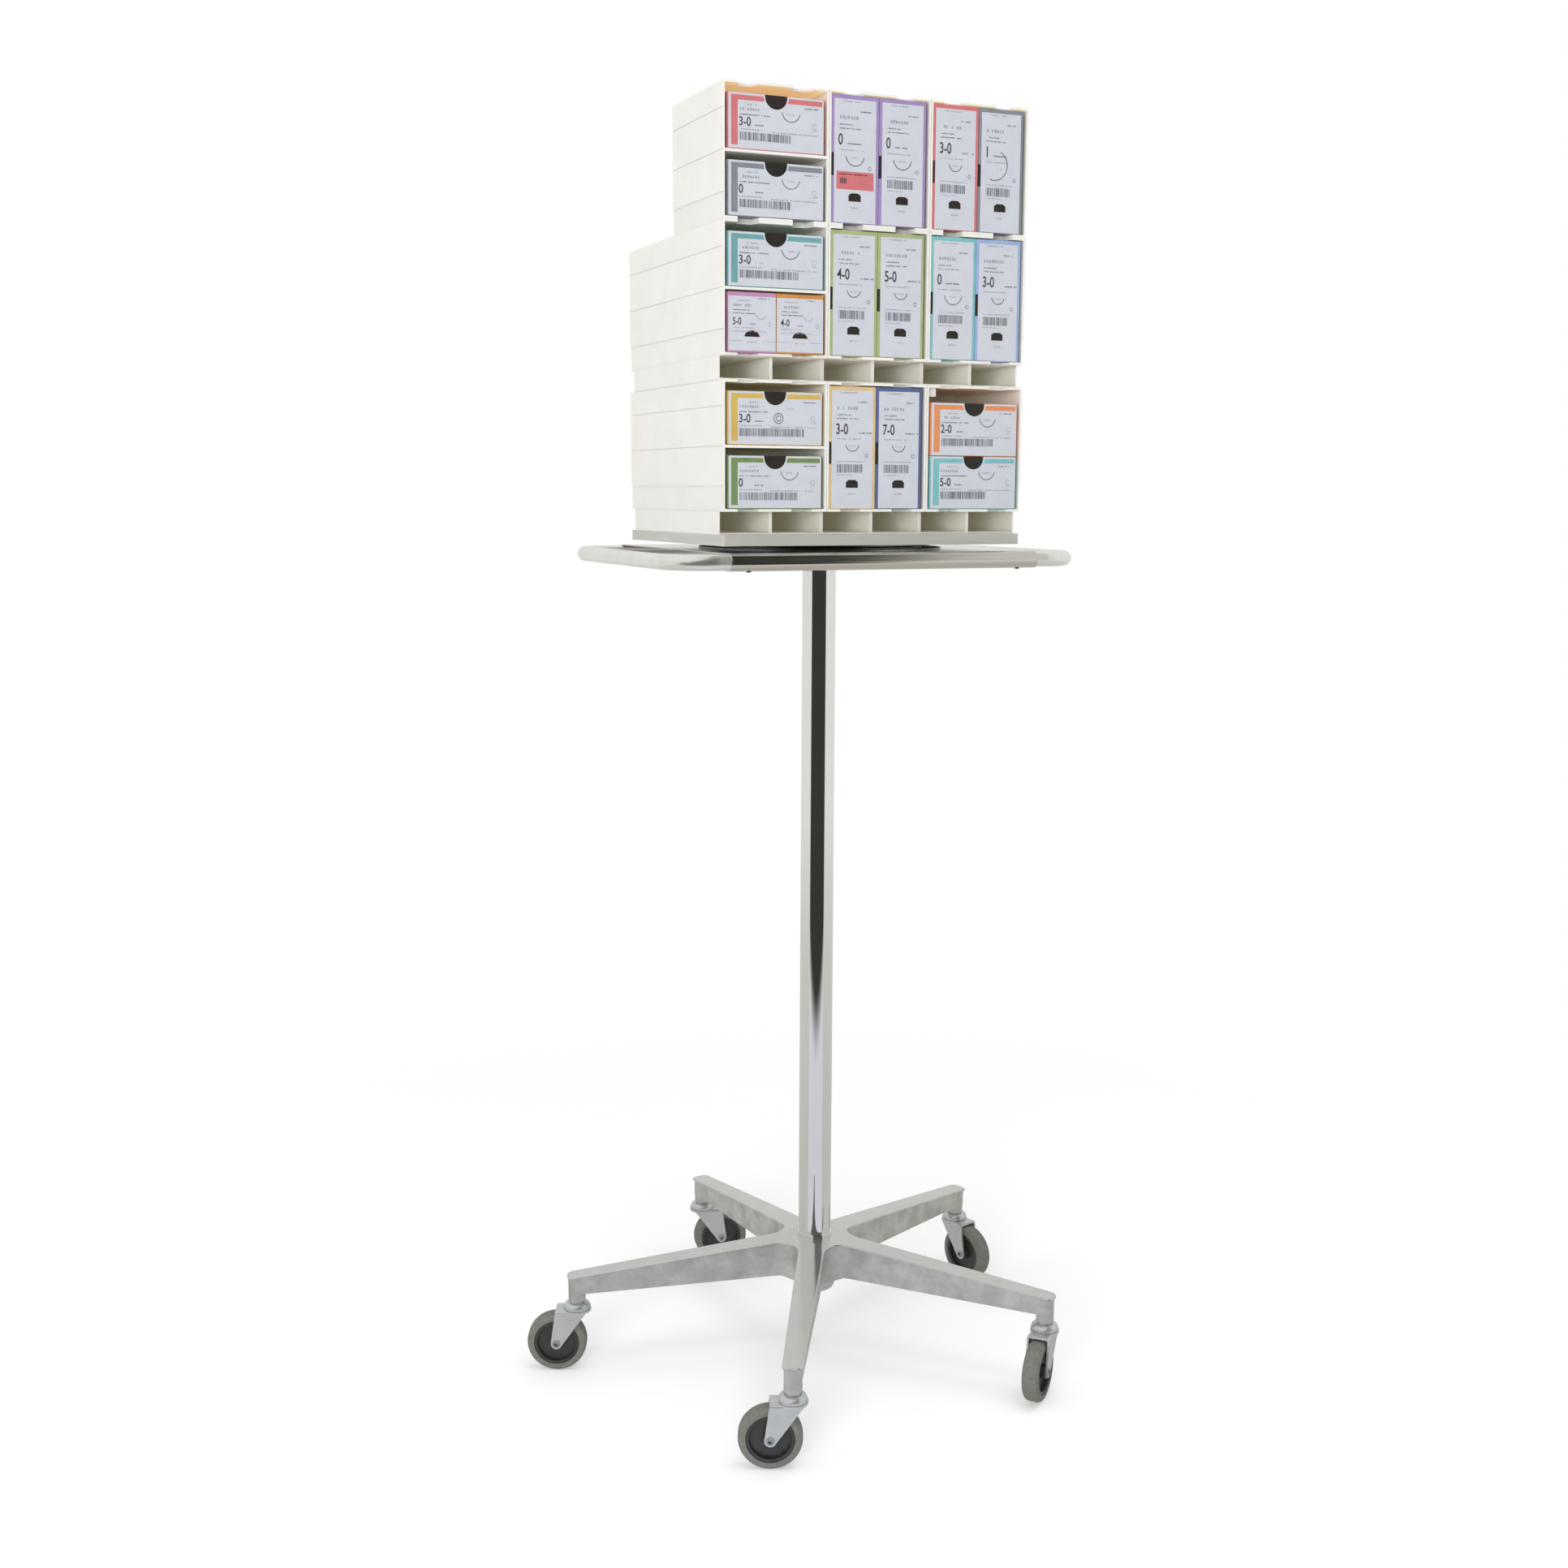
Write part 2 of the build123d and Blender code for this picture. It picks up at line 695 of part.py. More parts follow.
for number, (stem_point, heading) in enumerate(zip(stem_points, caster_headings), start=1):
    trail_dir = Vector(1, 0).rotate(Axis.Z, heading)
    axle_dir = Vector(0, -1).rotate(Axis.Z, heading)
    axle_point = stem_point + trail_dir * caster_trail + Vector(0, 0, wheel_radius)
    side_plane = Plane(origin=stem_point, x_dir=trail_dir, z_dir=axle_dir)
    front_plane = Plane(origin=stem_point, x_dir=-axle_dir, z_dir=trail_dir)
    axle_plane = Plane(origin=axle_point, x_dir=trail_dir, z_dir=axle_dir)
    wheel_plane = Plane(origin=axle_point, x_dir=axle_dir, z_dir=-trail_dir)
    wheel_axis = Axis(axle_point, axle_dir)

    # Fork bent from one strip, open below, turning about the kingpin
    with BuildPart() as fork:
        with BuildSketch(side_plane):
            with Locations((caster_trail, wheel_radius)):
                Circle(fork_foot_radius)
            with Locations(((caster_trail + fork_behind - fork_ahead) / 2, fork_top - fork_step / 2)):
                Rectangle(caster_trail + fork_behind + fork_ahead, fork_step)
            make_hull()
        extrude(amount=fork_outer / 2, both=True)
        with BuildSketch(front_plane):
            with Locations((0, fork_top)):
                RectangleRounded(
                    fork_outer, 2 * wheel_radius, fork_corner, align=(Align.CENTER, Align.MAX)
                )
            with Locations((0, fork_underside)):
                Rectangle(
                    fork_gap,
                    2 * wheel_radius,
                    align=(Align.CENTER, Align.MAX),
                    mode=Mode.SUBTRACT,
                )
        extrude(amount=2 * wheel_radius, both=True, mode=Mode.INTERSECT)
        with BuildSketch(Plane(origin=stem_point).offset(fork_underside)):
            Circle(crown_radius)
        extrude(amount=fork_step)
        with BuildSketch(Plane(origin=stem_point)):
            Circle(kingpin_radius + fit_clearance)
        extrude(amount=fork_top, mode=Mode.SUBTRACT)
        with BuildSketch(axle_plane):
            Circle(axle_radius + fit_clearance)
        extrude(amount=fork_outer, both=True, mode=Mode.SUBTRACT)
    fork.part.label = f"caster_{number}_fork"
    export_step(fork.part, f"parts/caster_{number}_fork.step")

    # Tubular rivet for an axle, its dimpled heads flat on the fork plates
    with BuildPart() as axle:
        with BuildSketch(axle_plane):
            Circle(axle_radius)
        extrude(amount=axle_end, both=True)
        for end in (1, -1):
            with BuildSketch(axle_plane.offset(end * fork_outer / 2)):
                Circle(axle_head_radius)
            extrude(amount=end * axle_head_thickness)
            with BuildSketch(axle_plane.offset(end * axle_end)):
                Circle(axle_dimple_radius)
            extrude(amount=-end * axle_dimple_depth, mode=Mode.SUBTRACT)
    axle.part.label = f"caster_{number}_axle"
    export_step(axle.part, f"parts/caster_{number}_axle.step")

    # Wheel centre: a dished disc with a long barrel that spaces it in the fork
    barrel = fork_gap / 2 - body_clearance
    rim = tyre_width / 2 - wheel_rim_inset
    with BuildPart() as wheel_hub:
        with BuildSketch(wheel_plane):
            Polygon(
                (-barrel, axle_radius + fit_clearance),
                (barrel, axle_radius + fit_clearance),
                (barrel, wheel_barrel_radius),
                (wheel_web_thickness / 2, wheel_barrel_radius),
                (wheel_web_thickness / 2, hub_radius - wheel_rim_wall),
                (rim, hub_radius - wheel_rim_wall),
                (rim, hub_radius),
                (-rim, hub_radius),
                (-rim, hub_radius - wheel_rim_wall),
                (-wheel_web_thickness / 2, hub_radius - wheel_rim_wall),
                (-wheel_web_thickness / 2, wheel_barrel_radius),
                (-barrel, wheel_barrel_radius),
                align=None,
            )
        revolve(axis=wheel_axis)
    wheel_hub.part.label = f"caster_{number}_wheel_hub"
    export_step(wheel_hub.part, f"parts/caster_{number}_wheel_hub.step")

    # Tyre stretched over the wheel centre
    with BuildPart() as tyre:
        with BuildSketch(wheel_plane):
            with Locations((0, hub_radius + fit_clearance)):
                Rectangle(tyre_width, tyre_wall - fit_clearance, align=(Align.CENTER, Align.MIN))
        revolve(axis=wheel_axis)
        fillet(tyre.edges().filter_by(GeomType.CIRCLE).sort_by(SortBy.RADIUS)[-2:], tyre_corner)
    tyre.part.label = f"caster_{number}_tyre"
    export_step(tyre.part, f"parts/caster_{number}_tyre.step")
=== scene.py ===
import json
import math

import bpy
import numpy as np
from mathutils import Matrix, Vector


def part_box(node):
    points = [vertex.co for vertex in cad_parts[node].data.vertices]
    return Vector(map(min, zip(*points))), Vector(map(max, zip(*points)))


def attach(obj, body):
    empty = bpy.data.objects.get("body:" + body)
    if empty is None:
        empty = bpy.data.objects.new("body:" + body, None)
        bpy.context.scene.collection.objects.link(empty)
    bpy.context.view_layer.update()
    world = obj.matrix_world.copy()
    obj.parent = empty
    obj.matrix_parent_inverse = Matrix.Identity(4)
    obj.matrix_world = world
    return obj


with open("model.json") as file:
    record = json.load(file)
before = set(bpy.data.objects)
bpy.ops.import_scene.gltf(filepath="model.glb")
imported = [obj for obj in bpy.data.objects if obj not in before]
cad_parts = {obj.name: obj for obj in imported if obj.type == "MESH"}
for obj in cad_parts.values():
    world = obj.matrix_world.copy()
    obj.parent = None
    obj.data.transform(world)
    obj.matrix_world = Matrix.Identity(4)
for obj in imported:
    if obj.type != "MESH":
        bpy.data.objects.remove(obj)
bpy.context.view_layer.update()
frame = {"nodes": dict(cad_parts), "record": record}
nodes = frame["nodes"]
print("frame loaded:", len(nodes), "nodes")


# Camera: where the photograph was taken from, in the frame of the racks
cameraPlace = {
    "location": (-0.9531, -2.1013, 1.1195),
    "right": (0.9185, -0.3956, 0.0041),
    "up": (0.0580, 0.1450, 0.9877),
    "forward": (0.3913, 0.9069, -0.1561),
    "lens": 42.26,
    "sensor": 36.0,
}
cameraData = bpy.data.cameras.new("photoCamera")
cameraData.lens = cameraPlace["lens"]
cameraData.sensor_width = cameraPlace["sensor"]
cameraData.sensor_fit = "HORIZONTAL"
cameraObject = bpy.data.objects.new("photoCamera", cameraData)
bpy.context.scene.collection.objects.link(cameraObject)
axes = np.array([cameraPlace["right"], cameraPlace["up"], [-v for v in cameraPlace["forward"]]])
placed = np.eye(4)
placed[:3, :3] = axes.T
placed[:3, 3] = cameraPlace["location"]
cameraObject.matrix_world = Matrix(placed.tolist())
bpy.context.scene.camera = cameraObject
bpy.context.scene.view_settings.view_transform = "Standard"
print("camera placed")


# Small helpers: colours, nodes, meshes
def toLinear(hexText, alpha=1.0):
    # sRGB hex to linear: v / 12.92 below 0.04045, else ((v + 0.055) / 1.055) ^ 2.4
    values = np.array([int(hexText[i:i + 2], 16) / 255 for i in (1, 3, 5)])
    linear = np.where(values < 0.04045, values / 12.92, ((values + 0.055) / 1.055) ** 2.4)
    return (*(float(v) for v in linear), alpha)


def perMetre(millimetres):
    # pattern scale on Object coordinates for a feature of this size
    return 1000.0 / millimetres


def addNode(tree, kind, settings=None, values=None, links=None):
    node = tree.nodes.new(kind)
    for key, value in (settings or {}).items():
        setattr(node, key, value)
    for key, value in (values or {}).items():
        node.inputs[key].default_value = value
    for key, source in (links or {}).items():
        tree.links.new(source, node.inputs[key])
    return node


def startMaterial(name, roughness, metallic=0.0):
    material = bpy.data.materials.new(name)
    material.use_nodes = True
    tree = material.node_tree
    shader = tree.nodes["Principled BSDF"]
    shader.inputs["Roughness"].default_value = roughness
    shader.inputs["Metallic"].default_value = metallic
    return material, tree, shader


def mottle(tree, shader, spec):
    # two tones mixed by a noise of grainMm, stretched along one axis for brushed lines,
    # with a second, finer noise for roughness and relief
    place = addNode(tree, "ShaderNodeTexCoord")
    mapped = addNode(
        tree, "ShaderNodeMapping",
        values={"Scale": spec.get("stretch", (1, 1, 1))},
        links={"Vector": place.outputs["Object"]},
    )
    grain = addNode(
        tree, "ShaderNodeTexNoise",
        values={"Scale": perMetre(spec["grainMm"]), "Detail": 4.0, "Roughness": 0.6},
        links={"Vector": mapped.outputs[0]},
    )
    ramp = addNode(tree, "ShaderNodeValToRGB", links={"Fac": grain.outputs["Fac"]})
    ramp.color_ramp.elements[0].position = spec.get("rampFrom", 0.3)
    ramp.color_ramp.elements[0].color = toLinear(spec["darkTone"])
    ramp.color_ramp.elements[1].position = spec.get("rampTo", 0.7)
    ramp.color_ramp.elements[1].color = toLinear(spec["lightTone"])
    tree.links.new(ramp.outputs[0], shader.inputs["Base Color"])
    fine = addNode(
        tree, "ShaderNodeTexNoise",
        values={"Scale": perMetre(spec["fineMm"]), "Detail": 3.0, "Roughness": 0.5},
        links={"Vector": mapped.outputs[0]},
    )
    rough = addNode(
        tree, "ShaderNodeMapRange",
        values={"From Min": 0.3, "From Max": 0.7, "To Min": spec["roughFrom"], "To Max": spec["roughTo"]},
        links={"Value": fine.outputs["Fac"]},
    )
    tree.links.new(rough.outputs[0], shader.inputs["Roughness"])
    relief = addNode(
        tree, "ShaderNodeBump",
        values={"Strength": spec.get("bump", 0.3), "Distance": spec["reliefMm"] / 1000},
        links={"Height": fine.outputs["Fac"]},
    )
    tree.links.new(relief.outputs[0], shader.inputs["Normal"])
    return ramp, place


# World and lamps: soft white studio. Mirrors also see its unlit half, where the photographer
# stands; walls and overhead are the first and last values between which it fades.
studio = {
    "lookBack": (-0.3962, -0.9182, 0.0),
    "lookAside": (0.9182, -0.3962, 0.0),
    "darkHalfAngle": 47.0,
    "darkBlur": 5.0,
    "leftWall": (-0.96, -0.93),
    "leftLean": 1.1,
    "rightWall": (0.43, 0.50),
    "overhead": (-0.35, -0.05),
    "darkTone": "#3A3B37",
    "mirrorTone": "#EAEAE7",
    "fill": 0.50,
    "keyPlace": (-3.0, 0.4, 1.7),
    "keySize": 2.6,
    "keyPower": 12.5,
    "topPlace": (0.4, -0.4, 3.6),
    "topSize": 3.0,
    "topPower": 44.0,
    "frontPlace": (-2.5, -3.0, 1.4),
    "frontSize": 1.8,
    "frontPower": 70.0,
    "target": (0.0, 0.0, 0.9),
}
world = bpy.data.worlds.new("softStudio")
bpy.context.scene.world = world
world.use_nodes = True
tree = world.node_tree
tree.nodes.clear()
# the unlit half is in front and overhead, between a white wall on the left and one on the right
direction = addNode(tree, "ShaderNodeTexCoord")
parts = addNode(tree, "ShaderNodeSeparateXYZ", links={0: direction.outputs["Generated"]})
straightBack = addNode(
    tree, "ShaderNodeVectorMath",
    settings={"operation": "DOT_PRODUCT"}, values={1: studio["lookBack"]},
    links={0: direction.outputs["Generated"]},
)
above = addNode(
    tree, "ShaderNodeMath",
    settings={"operation": "MAXIMUM"}, values={1: 0.0}, links={0: parts.outputs["Z"]},
)
# the left wall leans inward with height
leaning = addNode(
    tree, "ShaderNodeMath",
    settings={"operation": "MULTIPLY_ADD"}, values={1: -studio["leftLean"]},
    links={0: above.outputs[0], 2: parts.outputs["X"]},
)
limits = []
for source, (fromHere, toHere), levels in (
    (leaning.outputs[0], studio["leftWall"], (0.0, 1.0)),
    (parts.outputs["X"], studio["rightWall"], (1.0, 0.0)),
    (straightBack.outputs["Value"], studio["overhead"], (0.0, 1.0)),
):
    edge = addNode(
        tree, "ShaderNodeMapRange",
        settings={"interpolation_type": "SMOOTHSTEP"},
        values={"From Min": fromHere, "From Max": toHere, "To Min": levels[0], "To Max": levels[1]},
        links={"Value": source},
    )
    limits.append(edge)
betweenWalls = addNode(
    tree, "ShaderNodeMath",
    settings={"operation": "MULTIPLY"}, links={0: limits[0].outputs[0], 1: limits[1].outputs[0]},
)
darkShare = addNode(
    tree, "ShaderNodeMath",
    settings={"operation": "MULTIPLY"}, links={0: betweenWalls.outputs[0], 1: limits[2].outputs[0]},
)
tone = addNode(tree, "ShaderNodeMix", settings={"data_type": "RGBA"}, links={0: darkShare.outputs[0]})
tone.inputs[6].default_value = toLinear(studio["mirrorTone"])
tone.inputs[7].default_value = toLinear(studio["darkTone"])
inMirror = addNode(tree, "ShaderNodeBackground", values={"Strength": 1.0}, links={"Color": tone.outputs[2]})
softFill = addNode(tree, "ShaderNodeBackground", values={"Color": (1, 1, 1, 1), "Strength": studio["fill"]})
whiteView = addNode(tree, "ShaderNodeBackground", values={"Color": (1, 1, 1, 1), "Strength": 1.0})
lightPath = addNode(tree, "ShaderNodeLightPath")
mirrorRay = addNode(
    tree, "ShaderNodeMath",
    settings={"operation": "MAXIMUM"},
    links={0: lightPath.outputs["Is Glossy Ray"], 1: lightPath.outputs["Is Transmission Ray"]},
)
reflected = addNode(
    tree, "ShaderNodeMixShader",
    links={0: mirrorRay.outputs[0], 1: softFill.outputs[0], 2: inMirror.outputs[0]},
)
seen = addNode(
    tree, "ShaderNodeMixShader",
    links={0: lightPath.outputs["Is Camera Ray"], 1: reflected.outputs[0], 2: whiteView.outputs[0]},
)
addNode(tree, "ShaderNodeOutputWorld", links={"Surface": seen.outputs[0]})

for lamp in ("key", "top", "front"):
    lampData = bpy.data.lights.new(lamp + "Lamp", "AREA")
    lampData.energy = studio[lamp + "Power"]
    lampData.shape = "DISK"
    lampData.size = studio[lamp + "Size"]
    lampObject = bpy.data.objects.new(lamp + "Lamp", lampData)
    bpy.context.scene.collection.objects.link(lampObject)
    place = Vector(studio[lamp + "Place"])
    aim = (Vector(studio["target"]) - place).to_track_quat("-Z", "Y")
    lampObject.matrix_world = Matrix.Translation(place) @ aim.to_matrix().to_4x4()
    lampObject.visible_glossy = False
    lampObject.visible_camera = False
print("studio lit")


def putMesh(name, vertices, faces, materials, faceMaterials=None, smooth=False):
    mesh = bpy.data.meshes.new(name)
    mesh.from_pydata(vertices.tolist(), [], [tuple(int(i) for i in f) for f in faces])
    for material in materials:
        mesh.materials.append(material)
    if faceMaterials is not None:
        mesh.polygons.foreach_set("material_index", np.asarray(faceMaterials, dtype=np.int32))
    mesh.polygons.foreach_set("use_smooth", np.full(len(mesh.polygons), smooth))
    mesh.update()
    made = bpy.data.objects.new(name, mesh)
    bpy.context.scene.collection.objects.link(made)
    return made


# Floor: a large pale disc that keeps the shadow
floorSpec = {
    "radius": 45.0, "rings": 40, "spokes": 96, "fadeFrom": 0.9, "fadeTo": 1.6, "lift": 0.26,
    "paperEnd": 1.2, "paperBlur": 0.6, "farFrom": 0.8, "farTo": 4.0,
    "tone": "#F2F2F2", "asideTone": "#C8C7C2", "frontTone": "#D9DBE2",
}
radii = floorSpec["radius"] * (np.arange(1, floorSpec["rings"] + 1) / floorSpec["rings"]) ** 3
turns = np.linspace(0, 2 * math.pi, floorSpec["spokes"], endpoint=False)
# point (r, a) of the disc: (r cos a, r sin a, 0), with one point at the middle
gridX = radii[:, None] * np.cos(turns)
gridY = radii[:, None] * np.sin(turns)
floorPoints = np.vstack([[[0, 0, 0]], np.dstack([gridX, gridY, 0 * gridX]).reshape(-1, 3)])
ringIndex = 1 + np.arange(floorSpec["rings"] * floorSpec["spokes"]).reshape(floorSpec["rings"], -1)
nextSpoke = np.roll(ringIndex, -1, axis=1)
middleFan = [(0, a, b) for a, b in zip(ringIndex[0], nextSpoke[0])]
quads = np.stack([ringIndex[:-1], ringIndex[1:], nextSpoke[1:], nextSpoke[:-1]], axis=-1).reshape(-1, 4)
floorMaterial, tree, shader = startMaterial("paleStudioFloor", 0.9)
shader.inputs["Base Color"].default_value = toLinear(floorSpec["tone"])
place = addNode(tree, "ShaderNodeTexCoord")
reach = addNode(
    tree, "ShaderNodeVectorMath",
    settings={"operation": "LENGTH"},
    links={0: place.outputs["Object"]},
)
fade = addNode(
    tree, "ShaderNodeMapRange",
    settings={"interpolation_type": "SMOOTHSTEP"},
    values={"From Min": floorSpec["fadeFrom"], "From Max": floorSpec["fadeTo"]},
    links={"Value": reach.outputs["Value"]},
)
glow = addNode(tree, "ShaderNodeEmission", values={"Color": (1, 1, 1, 1), "Strength": floorSpec["lift"]})
lifted = addNode(tree, "ShaderNodeAddShader", links={0: shader.outputs[0], 1: glow.outputs[0]})
white = addNode(tree, "ShaderNodeEmission", values={"Color": (1, 1, 1, 1), "Strength": 1.0})
faded = addNode(
    tree, "ShaderNodeMixShader",
    links={0: fade.outputs[0], 1: lifted.outputs[0], 2: white.outputs[0]},
)
# in mirrors the pale paper ends in front of the object, in a sector on the photographer's side:
# the angle is the arc tangent of the part to the side over the part straight back
parts = [
    addNode(
        tree, "ShaderNodeVectorMath",
        settings={"operation": "DOT_PRODUCT"}, values={1: studio[axis]}, links={0: place.outputs["Object"]},
    )
    for axis in ("lookAside", "lookBack")
]
angle = addNode(
    tree, "ShaderNodeMath",
    settings={"operation": "ARCTAN2"},
    links={0: parts[0].outputs["Value"], 1: parts[1].outputs["Value"]},
)
turned = addNode(tree, "ShaderNodeMath", settings={"operation": "ABSOLUTE"}, links={0: angle.outputs[0]})
sector = addNode(
    tree, "ShaderNodeMapRange",
    settings={"interpolation_type": "SMOOTHSTEP"},
    values={
        "From Min": math.radians(studio["darkHalfAngle"]),
        "From Max": math.radians(studio["darkHalfAngle"] + studio["darkBlur"]),
        "To Min": 1.0, "To Max": 0.0,
    },
    links={"Value": turned.outputs[0]},
)
beyond = addNode(
    tree, "ShaderNodeMapRange",
    settings={"interpolation_type": "SMOOTHSTEP"},
    values={"From Min": floorSpec["paperEnd"], "From Max": floorSpec["paperEnd"] + floorSpec["paperBlur"]},
    links={"Value": parts[1].outputs["Value"]},
)
darkShare = addNode(
    tree, "ShaderNodeMath",
    settings={"operation": "MULTIPLY"}, links={0: sector.outputs[0], 1: beyond.outputs[0]},
)
farShare = addNode(
    tree, "ShaderNodeMapRange",
    values={"From Min": floorSpec["farFrom"], "From Max": floorSpec["farTo"]},
    links={"Value": reach.outputs["Value"]},
)
nearTone = addNode(tree, "ShaderNodeMix", settings={"data_type": "RGBA"}, links={0: sector.outputs[0]})
nearTone.inputs[6].default_value = toLinear(floorSpec["asideTone"])
nearTone.inputs[7].default_value = toLinear(floorSpec["frontTone"])
paperTone = addNode(
    tree, "ShaderNodeMix",
    settings={"data_type": "RGBA"}, links={0: farShare.outputs[0], 6: nearTone.outputs[2]},
)
paperTone.inputs[7].default_value = toLinear(studio["mirrorTone"])
mirrorTone = addNode(
    tree, "ShaderNodeMix",
    settings={"data_type": "RGBA"}, links={0: darkShare.outputs[0], 6: paperTone.outputs[2]},
)
mirrorTone.inputs[7].default_value = toLinear(studio["darkTone"])
inMirror = addNode(
    tree, "ShaderNodeEmission", values={"Strength": 1.0}, links={"Color": mirrorTone.outputs[2]}
)
lightPath = addNode(tree, "ShaderNodeLightPath")
cameraMix = addNode(
    tree, "ShaderNodeMixShader",
    links={0: lightPath.outputs["Is Camera Ray"], 1: shader.outputs[0], 2: faded.outputs[0]},
)
floorMix = addNode(
    tree, "ShaderNodeMixShader",
    links={0: lightPath.outputs["Is Glossy Ray"], 1: cameraMix.outputs[0], 2: inMirror.outputs[0]},
)
tree.links.new(floorMix.outputs[0], tree.nodes["Material Output"].inputs["Surface"])
floor = putMesh("studioFloor", floorPoints, middleFan + quads.tolist(), [floorMaterial])
print("floor laid")


# Materials, one for each material slot of the record. Metallic under 1 on a metal, here and on
# the base, is for looks: it keeps the metal from mirroring the unlit half as black.
finishes = {
    # column: chrome plating on a ground tube, mirror smooth, only faint wipe marks
    "chromed_steel": {
        "name": "chromePlate", "metallic": 1.0, "darkTone": "#E6E7E5", "lightTone": "#F1F1EE",
        "grainMm": 60.0, "fineMm": 25.0, "roughFrom": 0.03, "roughTo": 0.06, "reliefMm": 0.01,
        "stretch": (1, 1, 0.15), "bump": 0.1,
    },
    # ring: drawn aluminium tube, satin, brushed round its run
    "aluminium_tube": {
        "name": "satinAluminiumTube", "metallic": 0.9, "darkTone": "#E9E9E6", "lightTone": "#F3F3EF",
        "grainMm": 20.0, "fineMm": 1.2, "roughFrom": 0.26, "roughTo": 0.36, "reliefMm": 0.02,
    },
    # tray sheet: polished stainless, nearly a mirror with fine rolling lines
    "stainless_sheet": {
        "name": "polishedStainless", "metallic": 1.0, "darkTone": "#CBC7BE", "lightTone": "#DAD6CE",
        "grainMm": 30.0, "fineMm": 1.5, "roughFrom": 0.07, "roughTo": 0.14, "reliefMm": 0.01,
        "stretch": (0.03, 1, 1), "bump": 0.05,
    },
    # bearing: pressed steel, dull from the die
    "bearing_steel": {
        "name": "pressedBearingSteel", "metallic": 1.0, "darkTone": "#85898C", "lightTone": "#A2A6A8",
        "grainMm": 12.0, "fineMm": 1.0, "roughFrom": 0.3, "roughTo": 0.45, "reliefMm": 0.03,
    },
    # screws and bolts: bright turned steel, faintly streaked
    "steel_fasteners": {
        "name": "brightFastenerSteel", "metallic": 1.0, "darkTone": "#9DA1A3", "lightTone": "#C2C5C6",
        "grainMm": 4.0, "fineMm": 0.8, "roughFrom": 0.2, "roughTo": 0.35, "reliefMm": 0.02,
    },
    # forks and stems: pressed steel with bright zinc, a slightly blue, patchy sheen
    "zinc_plated_steel": {
        "name": "brightZincPlate", "metallic": 0.7, "darkTone": "#C2C6C6", "lightTone": "#CFD2D1",
        "grainMm": 25.0, "fineMm": 6.0, "roughFrom": 0.28, "roughTo": 0.34, "reliefMm": 0.003, "bump": 0.0,
    },
    # board: aluminium sheet over a core, dull, faint streaks along its length
    "board_aluminium": {
        "name": "dullAnodisedBoard", "metallic": 0.2, "darkTone": "#C4C4BE", "lightTone": "#D0D0C8",
        "grainMm": 8.0, "fineMm": 1.0, "roughFrom": 0.4, "roughTo": 0.52, "reliefMm": 0.02,
        "stretch": (0.08, 0.08, 1),
    },
    # wheels: moulded polypropylene discs, dark and a little dusty
    "wheel_plastic": {
        "name": "darkPolypropylene", "metallic": 0.0, "darkTone": "#2F302E", "lightTone": "#3C3C39",
        "grainMm": 7.0, "fineMm": 1.0, "roughFrom": 0.34, "roughTo": 0.5, "reliefMm": 0.05,
    },
    # tyres: grey thermoplastic rubber, matt, scuffed lighter on the tread
    "tyre_rubber": {
        "name": "greyTyreRubber", "metallic": 0.0, "darkTone": "#6C6B66", "lightTone": "#7E7D77",
        "grainMm": 5.0, "fineMm": 0.9, "roughFrom": 0.55, "roughTo": 0.75, "reliefMm": 0.08,
    },
}
materials = {}
for slotName, spec in finishes.items():
    material, tree, shader = startMaterial(spec["name"], spec["roughFrom"], spec["metallic"])
    mottle(tree, shader, spec)
    materials[slotName] = material

# Racks: injection-moulded polystyrene, cream white, semi-matt with a soft glow in thin walls, plus painted
# light in the hollows and under the top plate and painted shade in the grooves
rackSpec = {
    "darkTone": "#EAE8E1", "lightTone": "#F1F0EA", "grainMm": 45.0, "fineMm": 1.4,
    "roughFrom": 0.38, "roughTo": 0.5, "reliefMm": 0.02, "bump": 0.2, "rampFrom": 0.2, "rampTo": 0.8,
    "glow": 0.3, "glowMm": (2.4, 2.2, 1.9),
    "amberFrom": 1.54, "amberTo": 1.544, "amberTone": "#DFD29A", "amberGlow": 0.5,
    "downFrom": -0.2, "downTo": -0.8,
    "seamMm": 5.0, "seamShade": 0.72, "seamFrom": 0.35, "seamTo": 0.9,
    "hollowMm": 70.0, "hollowTone": "#EDE3BE", "hollowGlow": 0.032, "hollowFrom": 0.75, "hollowTo": 0.25,
    "openSamples": 4,
}
material, tree, shader = startMaterial("creamPolystyrene", 0.45)
ramp, place = mottle(tree, shader, rackSpec)
shader.inputs["Subsurface Weight"].default_value = rackSpec["glow"]
shader.inputs["Subsurface Radius"].default_value = tuple(v / 1000 for v in rackSpec["glowMm"])
shader.inputs["Subsurface Scale"].default_value = 1.0
# painted light: the underside of the topmost plate is tinted amber and given a glow, standing in for the
# studio's light that shines into the plate from above
height = addNode(tree, "ShaderNodeSeparateXYZ", links={0: place.outputs["Object"]})
facing = addNode(tree, "ShaderNodeSeparateXYZ", links={0: place.outputs["Normal"]})
downward = addNode(
    tree, "ShaderNodeMapRange",
    values={"From Min": rackSpec["downFrom"], "From Max": rackSpec["downTo"]},
    links={"Value": facing.outputs["Z"]},
)
topmost = addNode(
    tree, "ShaderNodeMapRange",
    values={"From Min": rackSpec["amberFrom"], "From Max": rackSpec["amberTo"]},
    links={"Value": height.outputs["Z"]},
)
amberPaintedGlowShare = addNode(
    tree, "ShaderNodeMath",
    settings={"operation": "MULTIPLY"}, links={0: downward.outputs[0], 1: topmost.outputs[0]},
)
amberPaintedTint = addNode(
    tree, "ShaderNodeMix",
    settings={"data_type": "RGBA"}, links={0: amberPaintedGlowShare.outputs[0], 6: ramp.outputs[0]},
)
amberPaintedTint.inputs[7].default_value = toLinear(rackSpec["amberTone"])
